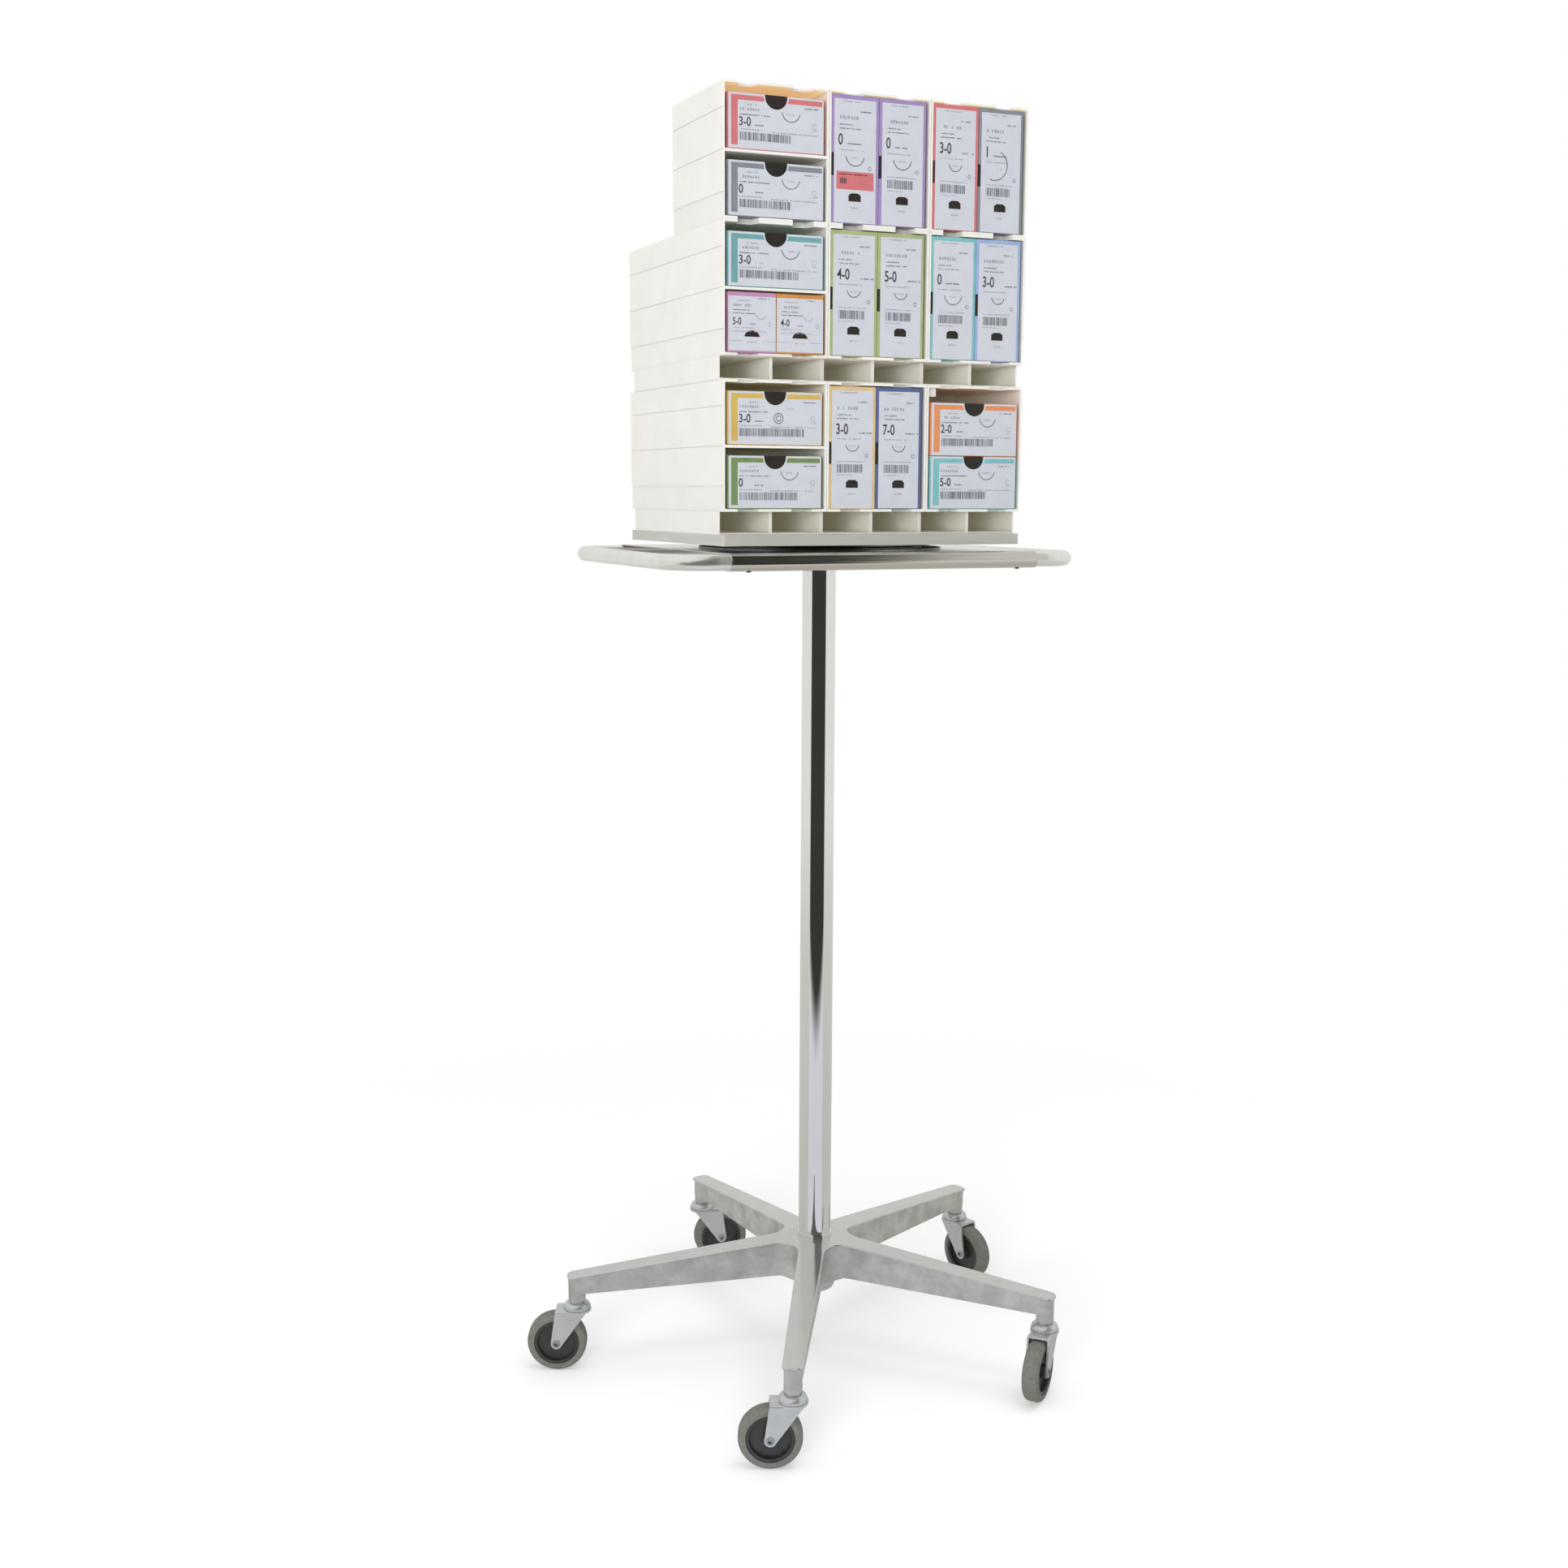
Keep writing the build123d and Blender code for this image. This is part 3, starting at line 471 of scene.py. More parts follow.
# painted shade: grooves and seams are darkened where ambient occlusion finds walls close by
paintedSeamShadeMask = addNode(
    tree, "ShaderNodeAmbientOcclusion",
    settings={"samples": rackSpec["openSamples"]}, values={"Distance": rackSpec["seamMm"] / 1000},
)
seam = addNode(
    tree, "ShaderNodeMapRange",
    values={
        "From Min": rackSpec["seamFrom"], "From Max": rackSpec["seamTo"],
        "To Min": rackSpec["seamShade"], "To Max": 1.0,
    },
    links={"Value": paintedSeamShadeMask.outputs["AO"]},
)
shaded = addNode(
    tree, "ShaderNodeVectorMath",
    settings={"operation": "SCALE"}, links={0: amberPaintedTint.outputs[2], "Scale": seam.outputs[0]},
)
tree.links.new(shaded.outputs[0], shader.inputs["Base Color"])
# painted light: an emission, strongest where ambient occlusion finds the deepest hollows, brightens the
# pocket interiors in place of the light the thin walls would let in; it also carries the amber glow under
# the top plate
hollow = addNode(
    tree, "ShaderNodeAmbientOcclusion",
    settings={"samples": rackSpec["openSamples"]}, values={"Distance": rackSpec["hollowMm"] / 1000},
)
hollowPaintedGlowShare = addNode(
    tree, "ShaderNodeMapRange",
    values={
        "From Min": rackSpec["hollowFrom"], "From Max": rackSpec["hollowTo"],
        "To Min": 0.0, "To Max": rackSpec["hollowGlow"],
    },
    links={"Value": hollow.outputs["AO"]},
)
paintedGlowStrength = addNode(
    tree, "ShaderNodeMath",
    settings={"operation": "MULTIPLY_ADD"}, values={1: rackSpec["amberGlow"]},
    links={0: amberPaintedGlowShare.outputs[0], 2: hollowPaintedGlowShare.outputs[0]},
)
paintedGlowTone = addNode(
    tree, "ShaderNodeMix", settings={"data_type": "RGBA"}, links={0: amberPaintedGlowShare.outputs[0]}
)
paintedGlowTone.inputs[6].default_value = toLinear(rackSpec["hollowTone"])
paintedGlowTone.inputs[7].default_value = toLinear(rackSpec["amberTone"])
tree.links.new(paintedGlowTone.outputs[2], shader.inputs["Emission Color"])
tree.links.new(paintedGlowStrength.outputs[0], shader.inputs["Emission Strength"])
materials["rack_plastic"] = material

# Base: sand-cast aluminium, polished on its top and rim, dull and mottled as cast on its sides
castSpec = {
    "polishTones": ("#C6C6C4", "#CECECC"), "castTones": ("#B4B3B0", "#DAD9D6"),
    "polishRough": (0.1, 0.13), "castRough": (0.42, 0.6), "patchMm": 28.0, "pitMm": 2.2,
    "reliefMm": 0.25, "edgeFrom": 0.35, "edgeTo": 0.6, "metallic": 0.78,
    "rampFrom": 0.32, "rampTo": 0.66, "sideBump": 0.5, "topBump": 0.03,
}
material, tree, shader = startMaterial("castAluminium", 0.3, castSpec["metallic"])
place = addNode(tree, "ShaderNodeTexCoord")
split = addNode(tree, "ShaderNodeSeparateXYZ", links={0: place.outputs["Normal"]})
upward = addNode(
    tree, "ShaderNodeMapRange",
    settings={"interpolation_type": "SMOOTHSTEP"},
    values={"From Min": castSpec["edgeFrom"], "From Max": castSpec["edgeTo"]},
    links={"Value": split.outputs["Z"]},
)
patches = addNode(
    tree, "ShaderNodeTexNoise",
    values={"Scale": perMetre(castSpec["patchMm"]), "Detail": 6.0, "Roughness": 0.65},
    links={"Vector": place.outputs["Object"]},
)
pits = addNode(
    tree, "ShaderNodeTexNoise",
    values={"Scale": perMetre(castSpec["pitMm"]), "Detail": 3.0, "Roughness": 0.6},
    links={"Vector": place.outputs["Object"]},
)
toneRamps = []
for tones in (castSpec["castTones"], castSpec["polishTones"]):
    ramp = addNode(tree, "ShaderNodeValToRGB", links={"Fac": patches.outputs["Fac"]})
    ramp.color_ramp.elements[0].position = castSpec["rampFrom"]
    ramp.color_ramp.elements[0].color = toLinear(tones[0])
    ramp.color_ramp.elements[1].position = castSpec["rampTo"]
    ramp.color_ramp.elements[1].color = toLinear(tones[1])
    toneRamps.append(ramp)
castTone = addNode(tree, "ShaderNodeMix", settings={"data_type": "RGBA"}, links={0: upward.outputs[0]})
tree.links.new(toneRamps[0].outputs[0], castTone.inputs[6])
tree.links.new(toneRamps[1].outputs[0], castTone.inputs[7])
tree.links.new(castTone.outputs[2], shader.inputs["Base Color"])
roughs = [
    addNode(
        tree, "ShaderNodeMapRange",
        values={"From Min": 0.3, "From Max": 0.7, "To Min": pair[0], "To Max": pair[1]},
        links={"Value": patches.outputs["Fac"]},
    )
    for pair in (castSpec["castRough"], castSpec["polishRough"])
]
castRough = addNode(
    tree, "ShaderNodeMix",
    links={0: upward.outputs[0], 2: roughs[0].outputs[0], 3: roughs[1].outputs[0]},
)
tree.links.new(castRough.outputs[0], shader.inputs["Roughness"])
sideOnly = addNode(
    tree, "ShaderNodeMapRange",
    values={"To Min": castSpec["sideBump"], "To Max": castSpec["topBump"]},
    links={"Value": upward.outputs[0]},
)
relief = addNode(
    tree, "ShaderNodeBump",
    values={"Distance": castSpec["reliefMm"] / 1000},
    links={"Height": pits.outputs["Fac"], "Strength": sideOnly.outputs[0]},
)
tree.links.new(relief.outputs[0], shader.inputs["Normal"])
materials["polished_aluminium"] = material

# Cartons: folding boxboard with an even printed tint and a light varnish
cardTones = {
    "red": "#D4767B", "grey": "#858A93", "purple": "#A38CBF", "teal": "#6FA5A8", "pink": "#C48CB5",
    "amber": "#D08F45", "lime": "#A9B780", "aqua": "#7FC0C4", "blue": "#9BB4DE", "yellow": "#D3B35A",
    "green": "#76905A", "tan": "#DCC08C", "navy": "#5C6894", "orange": "#E5935F",
}
cardSpec = {
    "grainMm": 18.0, "fineMm": 0.7, "roughFrom": 0.38, "roughTo": 0.5, "reliefMm": 0.02, "shade": 0.94,
}
tiny = 1e-6


def shadeOf(hexText, factor):
    return "#" + "".join("%02X" % round(int(hexText[i:i + 2], 16) * factor) for i in (1, 3, 5))


for tint, hexText in cardTones.items():
    material, tree, shader = startMaterial(tint + "CartonBoard", 0.45)
    spec = dict(cardSpec, darkTone=shadeOf(hexText, cardSpec["shade"]), lightTone=hexText)
    mottle(tree, shader, spec)
    materials["card_" + tint] = material

# Label stock and inks: coated paper, matt greys where small print stands
inkSpecs = {
    "labelPaper": ("#C8CBD3", "#CED1D9"),
    "paleInk": ("#9A9DA6", "#A3A6AE"),
    "greyInk": ("#5E6169", "#696C74"),
    "darkInk": ("#3C3B40", "#46454A"),
    # painted shade: the dark sheet that fills each opening in a carton front
    "openingShade": ("#231F1C", "#2E2925"),
}
inks = {}
for inkName, tones in inkSpecs.items():
    material, tree, shader = startMaterial(inkName, 0.5)
    mottle(tree, shader, dict(cardSpec, darkTone=tones[0], lightTone=tones[1]))
    inks[inkName] = material
print("materials made:", len(materials) + len(inks))

slotOf = {item["node"]: item["material_slot"] for item in frame["record"]["subparts"]}
for name, thing in nodes.items():
    thing.data.materials.clear()
    thing.data.materials.append(materials[slotOf[name]])
print("nodes finished:", len(nodes))


# Carton fronts. All measures are in mm from the face's left edge and its top.
def ribbon(first, second, back, front, closed=False):
    # a four-cornered section (first edge at back and front, second edge at front and back)
    # carried along two edges of n points; the second edge lies to the left of the first
    first, second = np.asarray(first, float), np.asarray(second, float)
    n = len(first)
    corners = np.empty((n, 4, 3))
    corners[:, 0] = np.column_stack([first[:, 0], np.full(n, back), first[:, 1]])
    corners[:, 1] = np.column_stack([first[:, 0], np.full(n, front), first[:, 1]])
    corners[:, 2] = np.column_stack([second[:, 0], np.full(n, front), second[:, 1]])
    corners[:, 3] = np.column_stack([second[:, 0], np.full(n, back), second[:, 1]])
    index = np.arange(4 * n).reshape(n, 4)
    onward = np.roll(index, -1, axis=0) if closed else index[1:]
    start = index if closed else index[:-1]
    walls = np.stack(
        [start, onward, np.roll(onward, -1, axis=1), np.roll(start, -1, axis=1)], axis=-1
    ).reshape(-1, 4)
    if not closed:
        walls = np.vstack([walls, index[:1], index[-1:, ::-1]])
    return corners.reshape(-1, 3), walls


def bars(left, right, low, high, back, front):
    # n closed boxes at once, each from left to right, low to high and back to front
    sides = (np.atleast_1d(np.asarray(v, float)) for v in (left, right, low, high))
    left, right, low, high = np.broadcast_arrays(*sides)
    n = len(left)
    x = np.stack([left, right, right, left] * 2, axis=1)
    z = np.stack([low, low, high, high] * 2, axis=1)
    y = np.tile([front] * 4 + [back] * 4, (n, 1))
    box = np.array([(0, 1, 2, 3), (5, 4, 7, 6), (1, 5, 6, 2), (4, 0, 3, 7), (3, 2, 6, 7), (4, 5, 1, 0)])
    faces = (box[None] + 8 * np.arange(n)[:, None, None]).reshape(-1, 4)
    return np.stack([x, y, z], axis=-1).reshape(-1, 3), faces


def smallPrint(left, width, middle, height, seed):
    # a line that stands for small type: one upright block per letter, with gaps between words
    rng = np.random.RandomState(seed)
    count = max(2, int(width / (0.75 * height)))
    starts = left + width * (np.arange(count) + 0.1) / count
    keep = rng.rand(count) > 0.14
    tall = np.where(rng.rand(count) > 0.3, 0.36, 0.5) * height
    wide = width / count * rng.uniform(0.5, 0.78, count)
    base = middle - 0.36 * height + 0 * starts
    return starts[keep], (starts + wide)[keep], base[keep], (middle + tall)[keep]


def barcode(left, right, low, high, seed):
    # bars and gaps of one to three units that fill the width
    rng = np.random.RandomState(seed)
    steps = rng.choice([1, 1, 1, 2, 2, 3], 2 * int((right - left) * 0.75)).astype(float)
    edges = left + (right - left) * np.concatenate([[0], np.cumsum(steps)]) / steps.sum()
    return edges[0:-1:2], edges[1::2][:len(edges[0:-1:2])], low, high


def arcLine(centre, radius, width, fromTurn, toTurn, count=28):
    # two arcs about one centre, radius plus and minus half the width
    turn = np.radians(np.linspace(fromTurn, toTurn, count))
    ray = np.column_stack([np.cos(turn), np.sin(turn)])
    return np.asarray(centre) + (radius + width / 2) * ray, np.asarray(centre) + (radius - width / 2) * ray


def numberMesh(text, size, squeeze):
    # the digits of a suture size, from Blender's own font, as a flat closed slab
    curve = bpy.data.curves.new("sizeNumber", "FONT")
    curve.body = text
    curve.size = size
    curve.extrude = 0.5
    curve.offset = 0.014 * size
    curve.resolution_u = 3
    holder = bpy.data.objects.new("sizeNumber", curve)
    bpy.context.scene.collection.objects.link(holder)
    bpy.context.view_layer.update()
    mesh = bpy.data.meshes.new_from_object(holder.evaluated_get(bpy.context.evaluated_depsgraph_get()))
    points = np.empty(len(mesh.vertices) * 3)
    mesh.vertices.foreach_get("co", points)
    faces = [tuple(p.vertices) for p in mesh.polygons]
    bpy.data.objects.remove(holder)
    bpy.data.meshes.remove(mesh)
    points = points.reshape(-1, 3) * (squeeze, 1, 1)
    # merge the slab's doubled points so that it closes
    rounded, where = np.unique(np.round(points, 5), axis=0, return_inverse=True)
    where = where.reshape(-1)
    return rounded, [tuple(int(where[i]) for i in face) for face in faces]


print("carton fronts: start")
labelSpec = {"paper": 0.10, "ink": 0.10, "sink": 0.02, "shadeDepth": 0.8, "recessDepth": 5.9, "slack": 0.1}


class Front:
    # gathers the thin plates of one carton's front, in mm, then writes one mesh
    def __init__(self, node):
        low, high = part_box(node)
        self.left, self.front, self.bottom = (float(v) * 1000 for v in low)
        self.width = (float(high[0]) - float(low[0])) * 1000
        self.height = (float(high[2]) - float(low[2])) * 1000
        self.points, self.faces, self.marks, self.inks, self.count = [], [], [], [], 0

    def add(self, shape, ink):
        points, faces = shape
        if ink not in self.inks:
            self.inks.append(ink)
        self.points.append(np.asarray(points, float))
        self.faces += [tuple(int(i) + self.count for i in face) for face in faces]
        self.marks += [self.inks.index(ink)] * len(faces)
        self.count += len(points)

    def level(self, layer):
        # back and front of a layer, before the face: 0 paper, 1 ink on paper
        start = labelSpec["sink"] - (labelSpec["paper"] if layer else 0)
        return start, -labelSpec["paper"] - layer * labelSpec["ink"]

    def plate(self, left, right, top, bottom, ink, layer=1):
        self.add(bars(left, right, self.height - bottom, self.height - top, *self.level(layer)), ink)

    def line(self, left, width, middle, height, ink, seed):
        blocks = smallPrint(left, width, self.height - middle, height, seed)
        self.add(bars(*blocks, *self.level(1)), ink)

    def code(self, left, right, top, bottom, seed):
        stripes = barcode(left, right, self.height - bottom, self.height - top, seed)
        self.add(bars(*stripes, *self.level(1)), "greyInk")

    def arc(self, x, drop, radius, width, fromTurn, toTurn, ink):
        outer, inner = arcLine((x, self.height - drop), radius, width, fromTurn, toTurn)
        self.add(ribbon(outer, inner, *self.level(1)), ink)

    def number(self, text, left, base, size, squeeze):
        points, faces = numberMesh(text, size, squeeze)
        back, front = self.level(1)
        depth = (points[:, 2] - points[:, 2].min()) / np.ptp(points[:, 2])
        across, up = points[:, 0] + left, points[:, 1] + self.height - base
        self.add((np.column_stack([across, back + (front - back) * depth, up]), faces), "darkInk")

    def draw(self, marks, seed, text):
        # a mark is its kind and its measures; lines and codes end with their draw of the seed
        for kind, *values in marks:
            if kind in ("line", "code"):
                values[-1] += seed
            if kind == "number":
                values.insert(0, text)
            getattr(self, kind)(*values)

    def shade(self, low, high):
        # painted shade: a dark sheet set back into the opening's recess stands for the shade inside the
        # opening
        self.add(ribbon(low, high, labelSpec["recessDepth"], labelSpec["shadeDepth"]), "openingShade")

    def finish(self, name, body, tintMaterial):
        points = (np.vstack(self.points) + (self.left, self.front, self.bottom)) / 1000
        palette = [tintMaterial if i == "tint" else inks[i] for i in self.inks]
        made = putMesh(name, points, self.faces, palette, self.marks)
        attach(made, body)


# Flat cartons: thumb notch at the top, colour bands down the left and along the top.
# Lines: left, width, middle, height, ink, draw. Arcs: centre, drop, radius, width, turns, ink.
flatSpec = {
    "inset": (1.6, 0.4, 0.9, 0.9),
    "notchRadius": 13.5, "notchDrop": 1.5, "notchBorder": 1.6, "notchPoints": 33, "notchSlack": 0.05,
    "bandLeft": 4.6, "bandWidth": 7.8, "bandRight": 2.6, "bandTop": 2.6, "bandLow": 7.8, "bandFoot": 4.2,
    "bandPoints": 7, "codeEnd": 75.6, "codeLeft": 14.8, "codeTop": 41.0, "codeLow": 49.6,
    "upperMarks": [
        ("line", 23.0, 14.0, 12.2, 2.0, "paleInk", 0),
        ("line", 14.6, 24.0, 17.2, 3.6, "paleInk", 1),
        ("line", 14.6, 36.0, 22.8, 1.7, "greyInk", 2),
        ("number", 13.4, 34.6, 13.6, 0.82),
        ("line", 33.0, 10.0, 33.2, 1.8, "greyInk", 3),
        ("line", 14.6, 27.0, 38.2, 1.6, "paleInk", 4),
        ("line", 52.0, 56.0, 39.4, 1.8, "paleInk", 5),
    ],
    "cornerMarks": [("line", 92.0, 16.5, 11.4, 1.7, "greyInk", 7)],
    "lowerMarks": [
        ("line", 71.0, 9.6, 19.0, 1.8, "paleInk", 8),
        ("arc", 104.6, 29.6, 2.6, 0.6, 20, 340, "paleInk"),
        ("line", 102.0, 6.0, 34.2, 2.0, "paleInk", 9),
    ],
    "needles": {
        "flat": [("arc", 75.8, 16.4, 10.6, 0.9, 184, 352, "greyInk")],
        "rings": [("arc", 62.0, 29.5, ring, 0.9, 0, 350, "greyInk") for ring in (3.0, 5.6)],
    },
}


def thumbEdge(face, border):
    # lower half of the circle cut by the thumb notch, widened by the border
    radius = flatSpec["notchRadius"] + border
    across = np.linspace(-1, 1, flatSpec["notchPoints"]) * radius
    centre = face.height - flatSpec["notchDrop"]
    return face.width / 2 + across, centre - np.sqrt(np.maximum(radius ** 2 - across ** 2, 0))


def flatFront(face, seed, text, kind, codeEnd):
    left, top, right, bottom = flatSpec["inset"]
    xs, edge = thumbEdge(face, flatSpec["notchSlack"])
    roof = face.height - top
    xs = np.concatenate([[left, xs[0]], xs, [xs[-1], face.width - right]])
    zs = np.concatenate([[roof, roof], np.minimum(edge, roof), [roof, roof]])
    apart = (np.diff(xs) > tiny) | (np.abs(np.diff(zs)) > tiny)
    keep = np.concatenate([[True], apart])
    xs, zs = xs[keep], zs[keep]
    foot = np.column_stack([xs, 0 * xs + bottom])
    face.add(ribbon(foot, np.column_stack([xs, zs]), *face.level(0)), "labelPaper")
    # the bands along the top stop at the notch's white border
    bandStart = flatSpec["bandLeft"] + flatSpec["bandWidth"]
    bandFoot = face.height - flatSpec["bandFoot"]
    face.plate(flatSpec["bandLeft"], bandStart, flatSpec["bandTop"], bandFoot, "tint")
    radius = flatSpec["notchRadius"] + flatSpec["notchBorder"]
    heights = np.linspace(
        face.height - flatSpec["bandLow"], face.height - flatSpec["bandTop"], flatSpec["bandPoints"]
    )
    reach = np.sqrt(np.maximum(radius ** 2 - (heights - face.height + flatSpec["notchDrop"]) ** 2, 0))
    bandEnd = face.width - flatSpec["bandRight"]
    for fromSide, toSide in (
        (0 * heights + bandStart, face.width / 2 - reach),
        (face.width / 2 + reach, 0 * heights + bandEnd),
    ):
        start, stop = np.column_stack([fromSide, heights]), np.column_stack([toSide, heights])
        face.add(ribbon(stop, start, *face.level(1)), "tint")
    face.draw(flatSpec["upperMarks"], seed, text)
    face.code(flatSpec["codeLeft"], codeEnd, flatSpec["codeTop"], flatSpec["codeLow"], seed + 6)
    face.draw(flatSpec["cornerMarks"], seed, text)
    face.draw(flatSpec["needles"][kind], seed, text)
    face.draw(flatSpec["lowerMarks"], seed, text)
    xs, edge = (side[1:-1] for side in thumbEdge(face, -labelSpec["slack"]))
    ceiling = np.full_like(xs, face.height - labelSpec["slack"])
    face.shade(np.column_stack([xs, edge]), np.column_stack([xs, ceiling]))


# Tall cartons: five-sided window low down and a slit at the left edge
lotSquares = np.arange(5)
codeMarks = [
    ("line", 10.0, 36.0, 84.70, 1.6, "paleInk", 8),
    ("code", 10.4, 43.0, 87.75, 97.16, 9),
    ("line", 10.4, 20.0, 99.92, 1.4, "paleInk", 10),
]
lotMarks = [
    ("plate", 6.6, 52.8, 82.35, 101.72, "lotRed"),
    ("line", 9.0, 36.0, 85.39, 1.6, "greyInk", 9),
    ("plate", 11.0 + 1.7 * lotSquares, 12.1 + 1.7 * lotSquares, 89.27, 95.50, "darkInk", 1.5),
]
tallSpec = {
    "edge": 3.6, "band": 4.6, "foot": 0.7,
    "windowWidth": 15.5, "windowHeight": 9.0, "windowRise": 24.0, "windowRoof": 2.5, "windowRidge": 0.55,
    "slitWidth": 3.4, "slitHeight": 25.0, "slitRise": 51.0,
    "digitLeft": 11.4, "digitWidth": 8.8, "unitWidth": 17.0, "unitMiddle": 52.32, "unitHeight": 2.0,
    "upperMarks": [
        ("line", 14.0, 22.0, 7.20, 2.0, "paleInk", 0),
        ("line", 36.0, 13.0, 17.30, 1.8, "greyInk", 1),
        ("line", 10.0, 27.0, 24.64, 4.4, "paleInk", 2),
        ("line", 10.0, 17.0, 32.11, 1.6, "greyInk", 3),
        ("line", 10.0, 27.0, 36.26, 1.6, "greyInk", 4),
        ("number", 8.4, 53.70, 17.0, 0.70),
    ],
    "middleMarks": [("line", 10.0, 30.0, 59.24, 1.6, "paleInk", 6)],
    "needles": {
        "block": [("arc", 29.5, 64.77, 11.2, 1.0, 186, 352, "greyInk")],
        "tall": [("arc", 29.5, 64.77, 11.2, 1.0, 186, 352, "greyInk")],
        "tallSmall": [("arc", 29.5, 64.77, 8.2, 1.0, 186, 352, "greyInk")],
        "tallWide": [("arc", 21.24, 62.28, 17.0, 1.0, -110, 62, "greyInk")],
    },
    "lowerMarks": [
        ("line", 24.78, 9.0, 67.12, 1.6, "paleInk", 7),
        ("arc", 48.0, 77.78, 1.9, 0.6, 10, 350, "greyInk"),
    ],
    "footMarks": [("line", 24.5, 10.0, 121.52, 2.2, "paleInk", 11)],
}


def tallFront(face, seed, text, kind):
    # paper as a ring from the window's outline to the panel's outline
    middle, slack = face.width / 2, labelSpec["slack"]
    half, rise = tallSpec["windowWidth"] / 2, tallSpec["windowRise"]
    ridge = rise + tallSpec["windowHeight"]
    eaves = ridge - tallSpec["windowRoof"]
    inner = half * tallSpec["windowRidge"]
    outline = np.array(
        [(half, rise), (half, eaves), (inner, ridge), (-inner, ridge), (-half, eaves), (-half, rise)]
    ) + (middle, 0)
    left, right = tallSpec["edge"], face.width - tallSpec["edge"]
    top, bottom = face.height - tallSpec["band"], tallSpec["foot"]
    around = [(right, bottom), (right, eaves), (right, top), (left, top), (left, eaves), (left, bottom)]
    face.add(ribbon(around, outline, *face.level(0), closed=True), "labelPaper")
    face.draw(tallSpec["upperMarks"], seed, text)
    unitLeft = tallSpec["digitLeft"] + tallSpec["digitWidth"] * len(text)
    face.line(
        unitLeft, tallSpec["unitWidth"], tallSpec["unitMiddle"], tallSpec["unitHeight"], "greyInk", seed + 5
    )
    face.draw(tallSpec["middleMarks"] + tallSpec["needles"][kind] + tallSpec["lowerMarks"], seed, text)
    face.draw((lotMarks if kind == "block" else codeMarks) + tallSpec["footMarks"], seed, text)
    across = np.array([slack - half, -inner, inner, half - slack])
    roof = np.array([eaves, ridge - slack, ridge - slack, eaves])
    face.shade(
        np.column_stack([across + middle, np.full(len(across), rise + slack)]),
        np.column_stack([across + middle, roof]),
    )
    # painted shade: a dark sheet in the slit's recess
    slitLow, slitHigh = tallSpec["slitRise"], tallSpec["slitRise"] + tallSpec["slitHeight"]
    slit = bars(
        slack, tallSpec["slitWidth"] - slack, slitLow + slack, slitHigh - slack,
        labelSpec["recessDepth"], labelSpec["shadeDepth"],
    )
    face.add(slit, "openingShade")


# Small cartons: half-moon opening over a fold line
smallSpec = {
    "side": 0.4, "band": 4.4, "foot": 1.8, "moonHalf": 9.5, "moonHeight": 7.0, "moonRise": 17.0,
    "moonPoints": 17, "sidePoints": 6, "topPoints": 7, "footShare": 0.5,
    "foldTop": 52.4, "foldLow": 52.9, "foldStart": 1.0, "foldGap": 12.0,
    "marks": [
        ("line", 22.75, 12.0, 53.6, 1.4, "paleInk", 8),
        ("line", 10.0, 16.0, 9.0, 1.8, "paleInk", 0),
        ("line", 36.0, 13.0, 6.6, 1.5, "greyInk", 1),
        ("line", 6.0, 22.0, 14.4, 3.4, "paleInk", 2),
        ("line", 6.0, 20.0, 19.4, 1.5, "greyInk", 3),
        ("line", 6.0, 26.0, 23.0, 1.5, "greyInk", 4),
        ("number", 5.2, 35.2, 11.0, 0.74),
        ("line", 24.0, 9.0, 34.2, 1.6, "greyInk", 5),
        ("arc", 39.0, 23.0, 5.6, 0.7, 190, 350, "paleInk"),
        ("line", 6.0, 24.0, 38.6, 1.4, "paleInk", 6),
        ("arc", 50.0, 34.0, 2.0, 0.6, 10, 350, "paleInk"),
        ("line", 6.0, 40.0, 42.4, 1.4, "paleInk", 7),
    ],
}


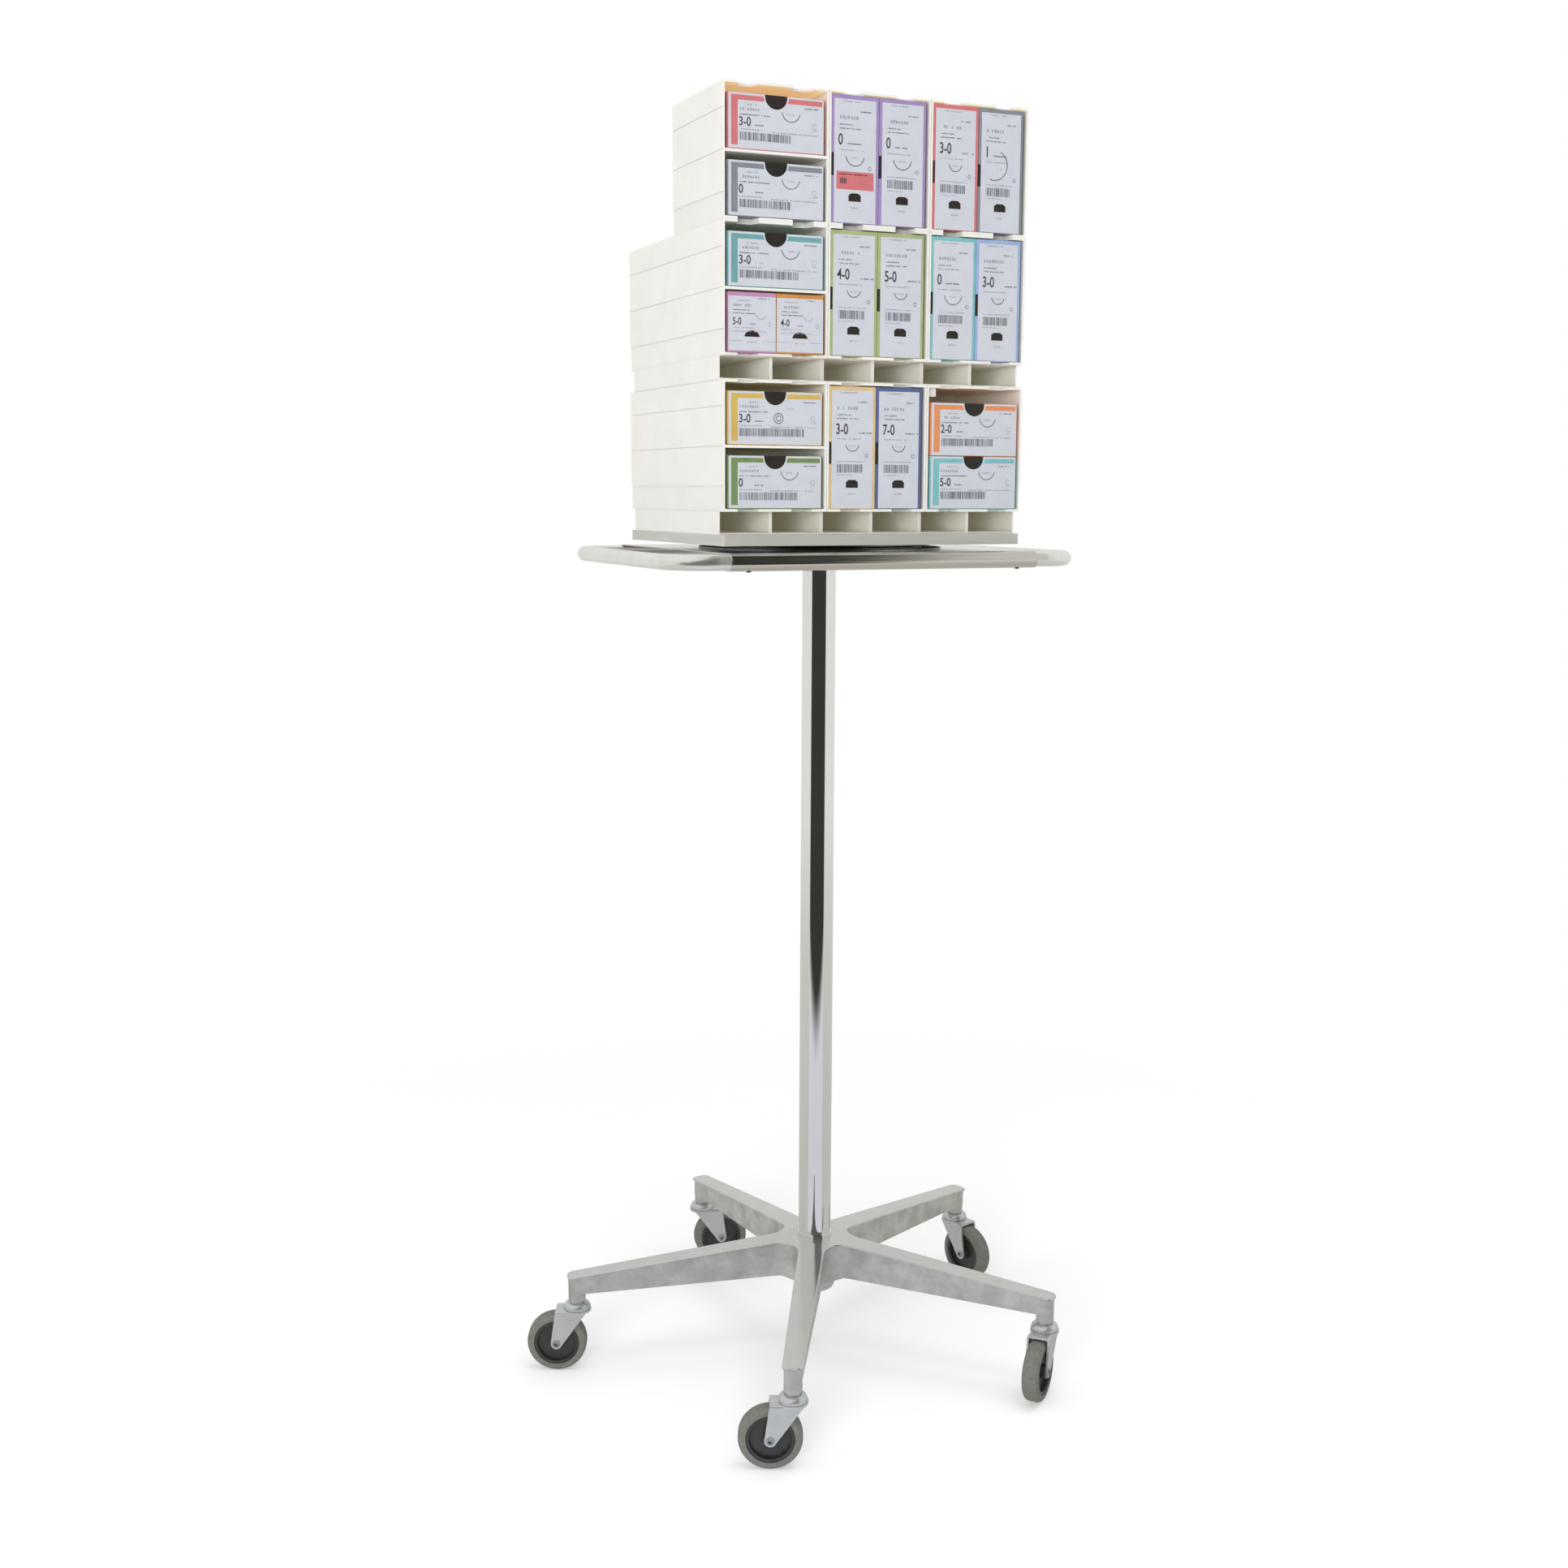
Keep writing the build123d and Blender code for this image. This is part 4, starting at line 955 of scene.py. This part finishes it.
def smallFront(face, seed, text):
    # paper as a ring from the moon's outline to the panel's outline, where each ray from the
    # moon's centre meets the panel
    middle, rise = face.width / 2, smallSpec["moonRise"]
    half, tall = smallSpec["moonHalf"], smallSpec["moonHeight"]
    turn = np.linspace(0, math.pi, smallSpec["moonPoints"])
    moon = np.column_stack([middle + half * np.cos(turn), rise + tall * np.sin(turn)])
    right, top = face.width - smallSpec["side"], face.height - smallSpec["band"]
    corner = math.atan2(top - rise, right - middle)
    turn = np.concatenate([
        np.linspace(0, corner, smallSpec["sidePoints"]),
        np.linspace(corner, math.pi - corner, smallSpec["topPoints"])[1:-1],
        np.linspace(math.pi - corner, math.pi, smallSpec["sidePoints"]),
    ])
    ray = np.column_stack([np.cos(turn), np.sin(turn)])
    reach = np.minimum(
        (right - middle) / np.maximum(np.abs(ray[:, 0]), tiny), (top - rise) / np.maximum(ray[:, 1], tiny)
    )
    around = np.array([middle, rise]) + ray * reach[:, None]
    share = half * smallSpec["footShare"]
    moon = np.vstack([moon, [(middle - share, rise), (middle + share, rise)]])
    around = np.vstack([around, [(smallSpec["side"], smallSpec["foot"]), (right, smallSpec["foot"])]])
    face.add(ribbon(around, moon, *face.level(0), closed=True), "labelPaper")
    for start, stop in (
        (smallSpec["foldStart"], middle - smallSpec["foldGap"]),
        (middle + smallSpec["foldGap"], face.width - smallSpec["foldStart"]),
    ):
        face.plate(start, stop, smallSpec["foldTop"], smallSpec["foldLow"], "paleInk")
    face.draw(smallSpec["marks"], seed, text)
    cosine = np.linspace(-0.98, 0.98, smallSpec["moonPoints"])
    low = np.column_stack([middle + half * cosine, 0 * cosine + rise + labelSpec["slack"]])
    high = np.column_stack([low[:, 0], rise + tall * np.sqrt(1 - cosine ** 2) - labelSpec["slack"] / 2])
    face.shade(low, np.maximum(high, low + (0, labelSpec["sink"])))


# place: tint, kind of front, suture size
cartons = {
    "top_left_upper": ("red", "flat", "3-0"),
    "top_left_lower": ("grey", "flat", "0"),
    "top_centre_first": ("purple", "block", "0"),
    "top_centre_second": ("purple", "tall", "0"),
    "top_right_first": ("red", "tallSmall", "3-0"),
    "top_right_second": ("grey", "tallWide", "1"),
    "middle_left_upper": ("teal", "flat", "3-0"),
    "middle_left_first": ("pink", "small", "5-0"),
    "middle_left_second": ("amber", "small", "4-0"),
    "middle_centre_first": ("lime", "tallSmall", "4-0"),
    "middle_centre_second": ("lime", "tallSmall", "5-0"),
    "middle_right_first": ("aqua", "tall", "0"),
    "middle_right_second": ("blue", "tallSmall", "3-0"),
    "bottom_left_upper": ("yellow", "rings", "3-0"),
    "bottom_left_lower": ("green", "flat", "0"),
    "bottom_centre_first": ("tan", "tallSmall", "3-0"),
    "bottom_centre_second": ("navy", "tallSmall", "7-0"),
    "bottom_right_upper": ("orange", "flat", "2-0"),
    "bottom_right_lower": ("aqua", "flat", "5-0"),
}
longCodes = {
    "middle_left_upper": 86.0, "bottom_left_upper": 94.0,
    "bottom_left_lower": 86.0, "bottom_right_upper": 84.0,
}
inks["lotRed"] = materials["card_red"]
for order, (place, (tint, kind, text)) in enumerate(cartons.items()):
    face = Front("carton_" + place)
    seed = 100 * (order + 1)
    if kind in flatSpec["needles"]:
        flatFront(face, seed, text, kind, longCodes.get(place, flatSpec["codeEnd"]))
    elif kind == "small":
        smallFront(face, seed, text)
    else:
        tallFront(face, seed, text, kind)
    face.finish("front_" + place, "carton_" + place, materials["card_" + tint])
print("carton fronts made:", len(cartons))
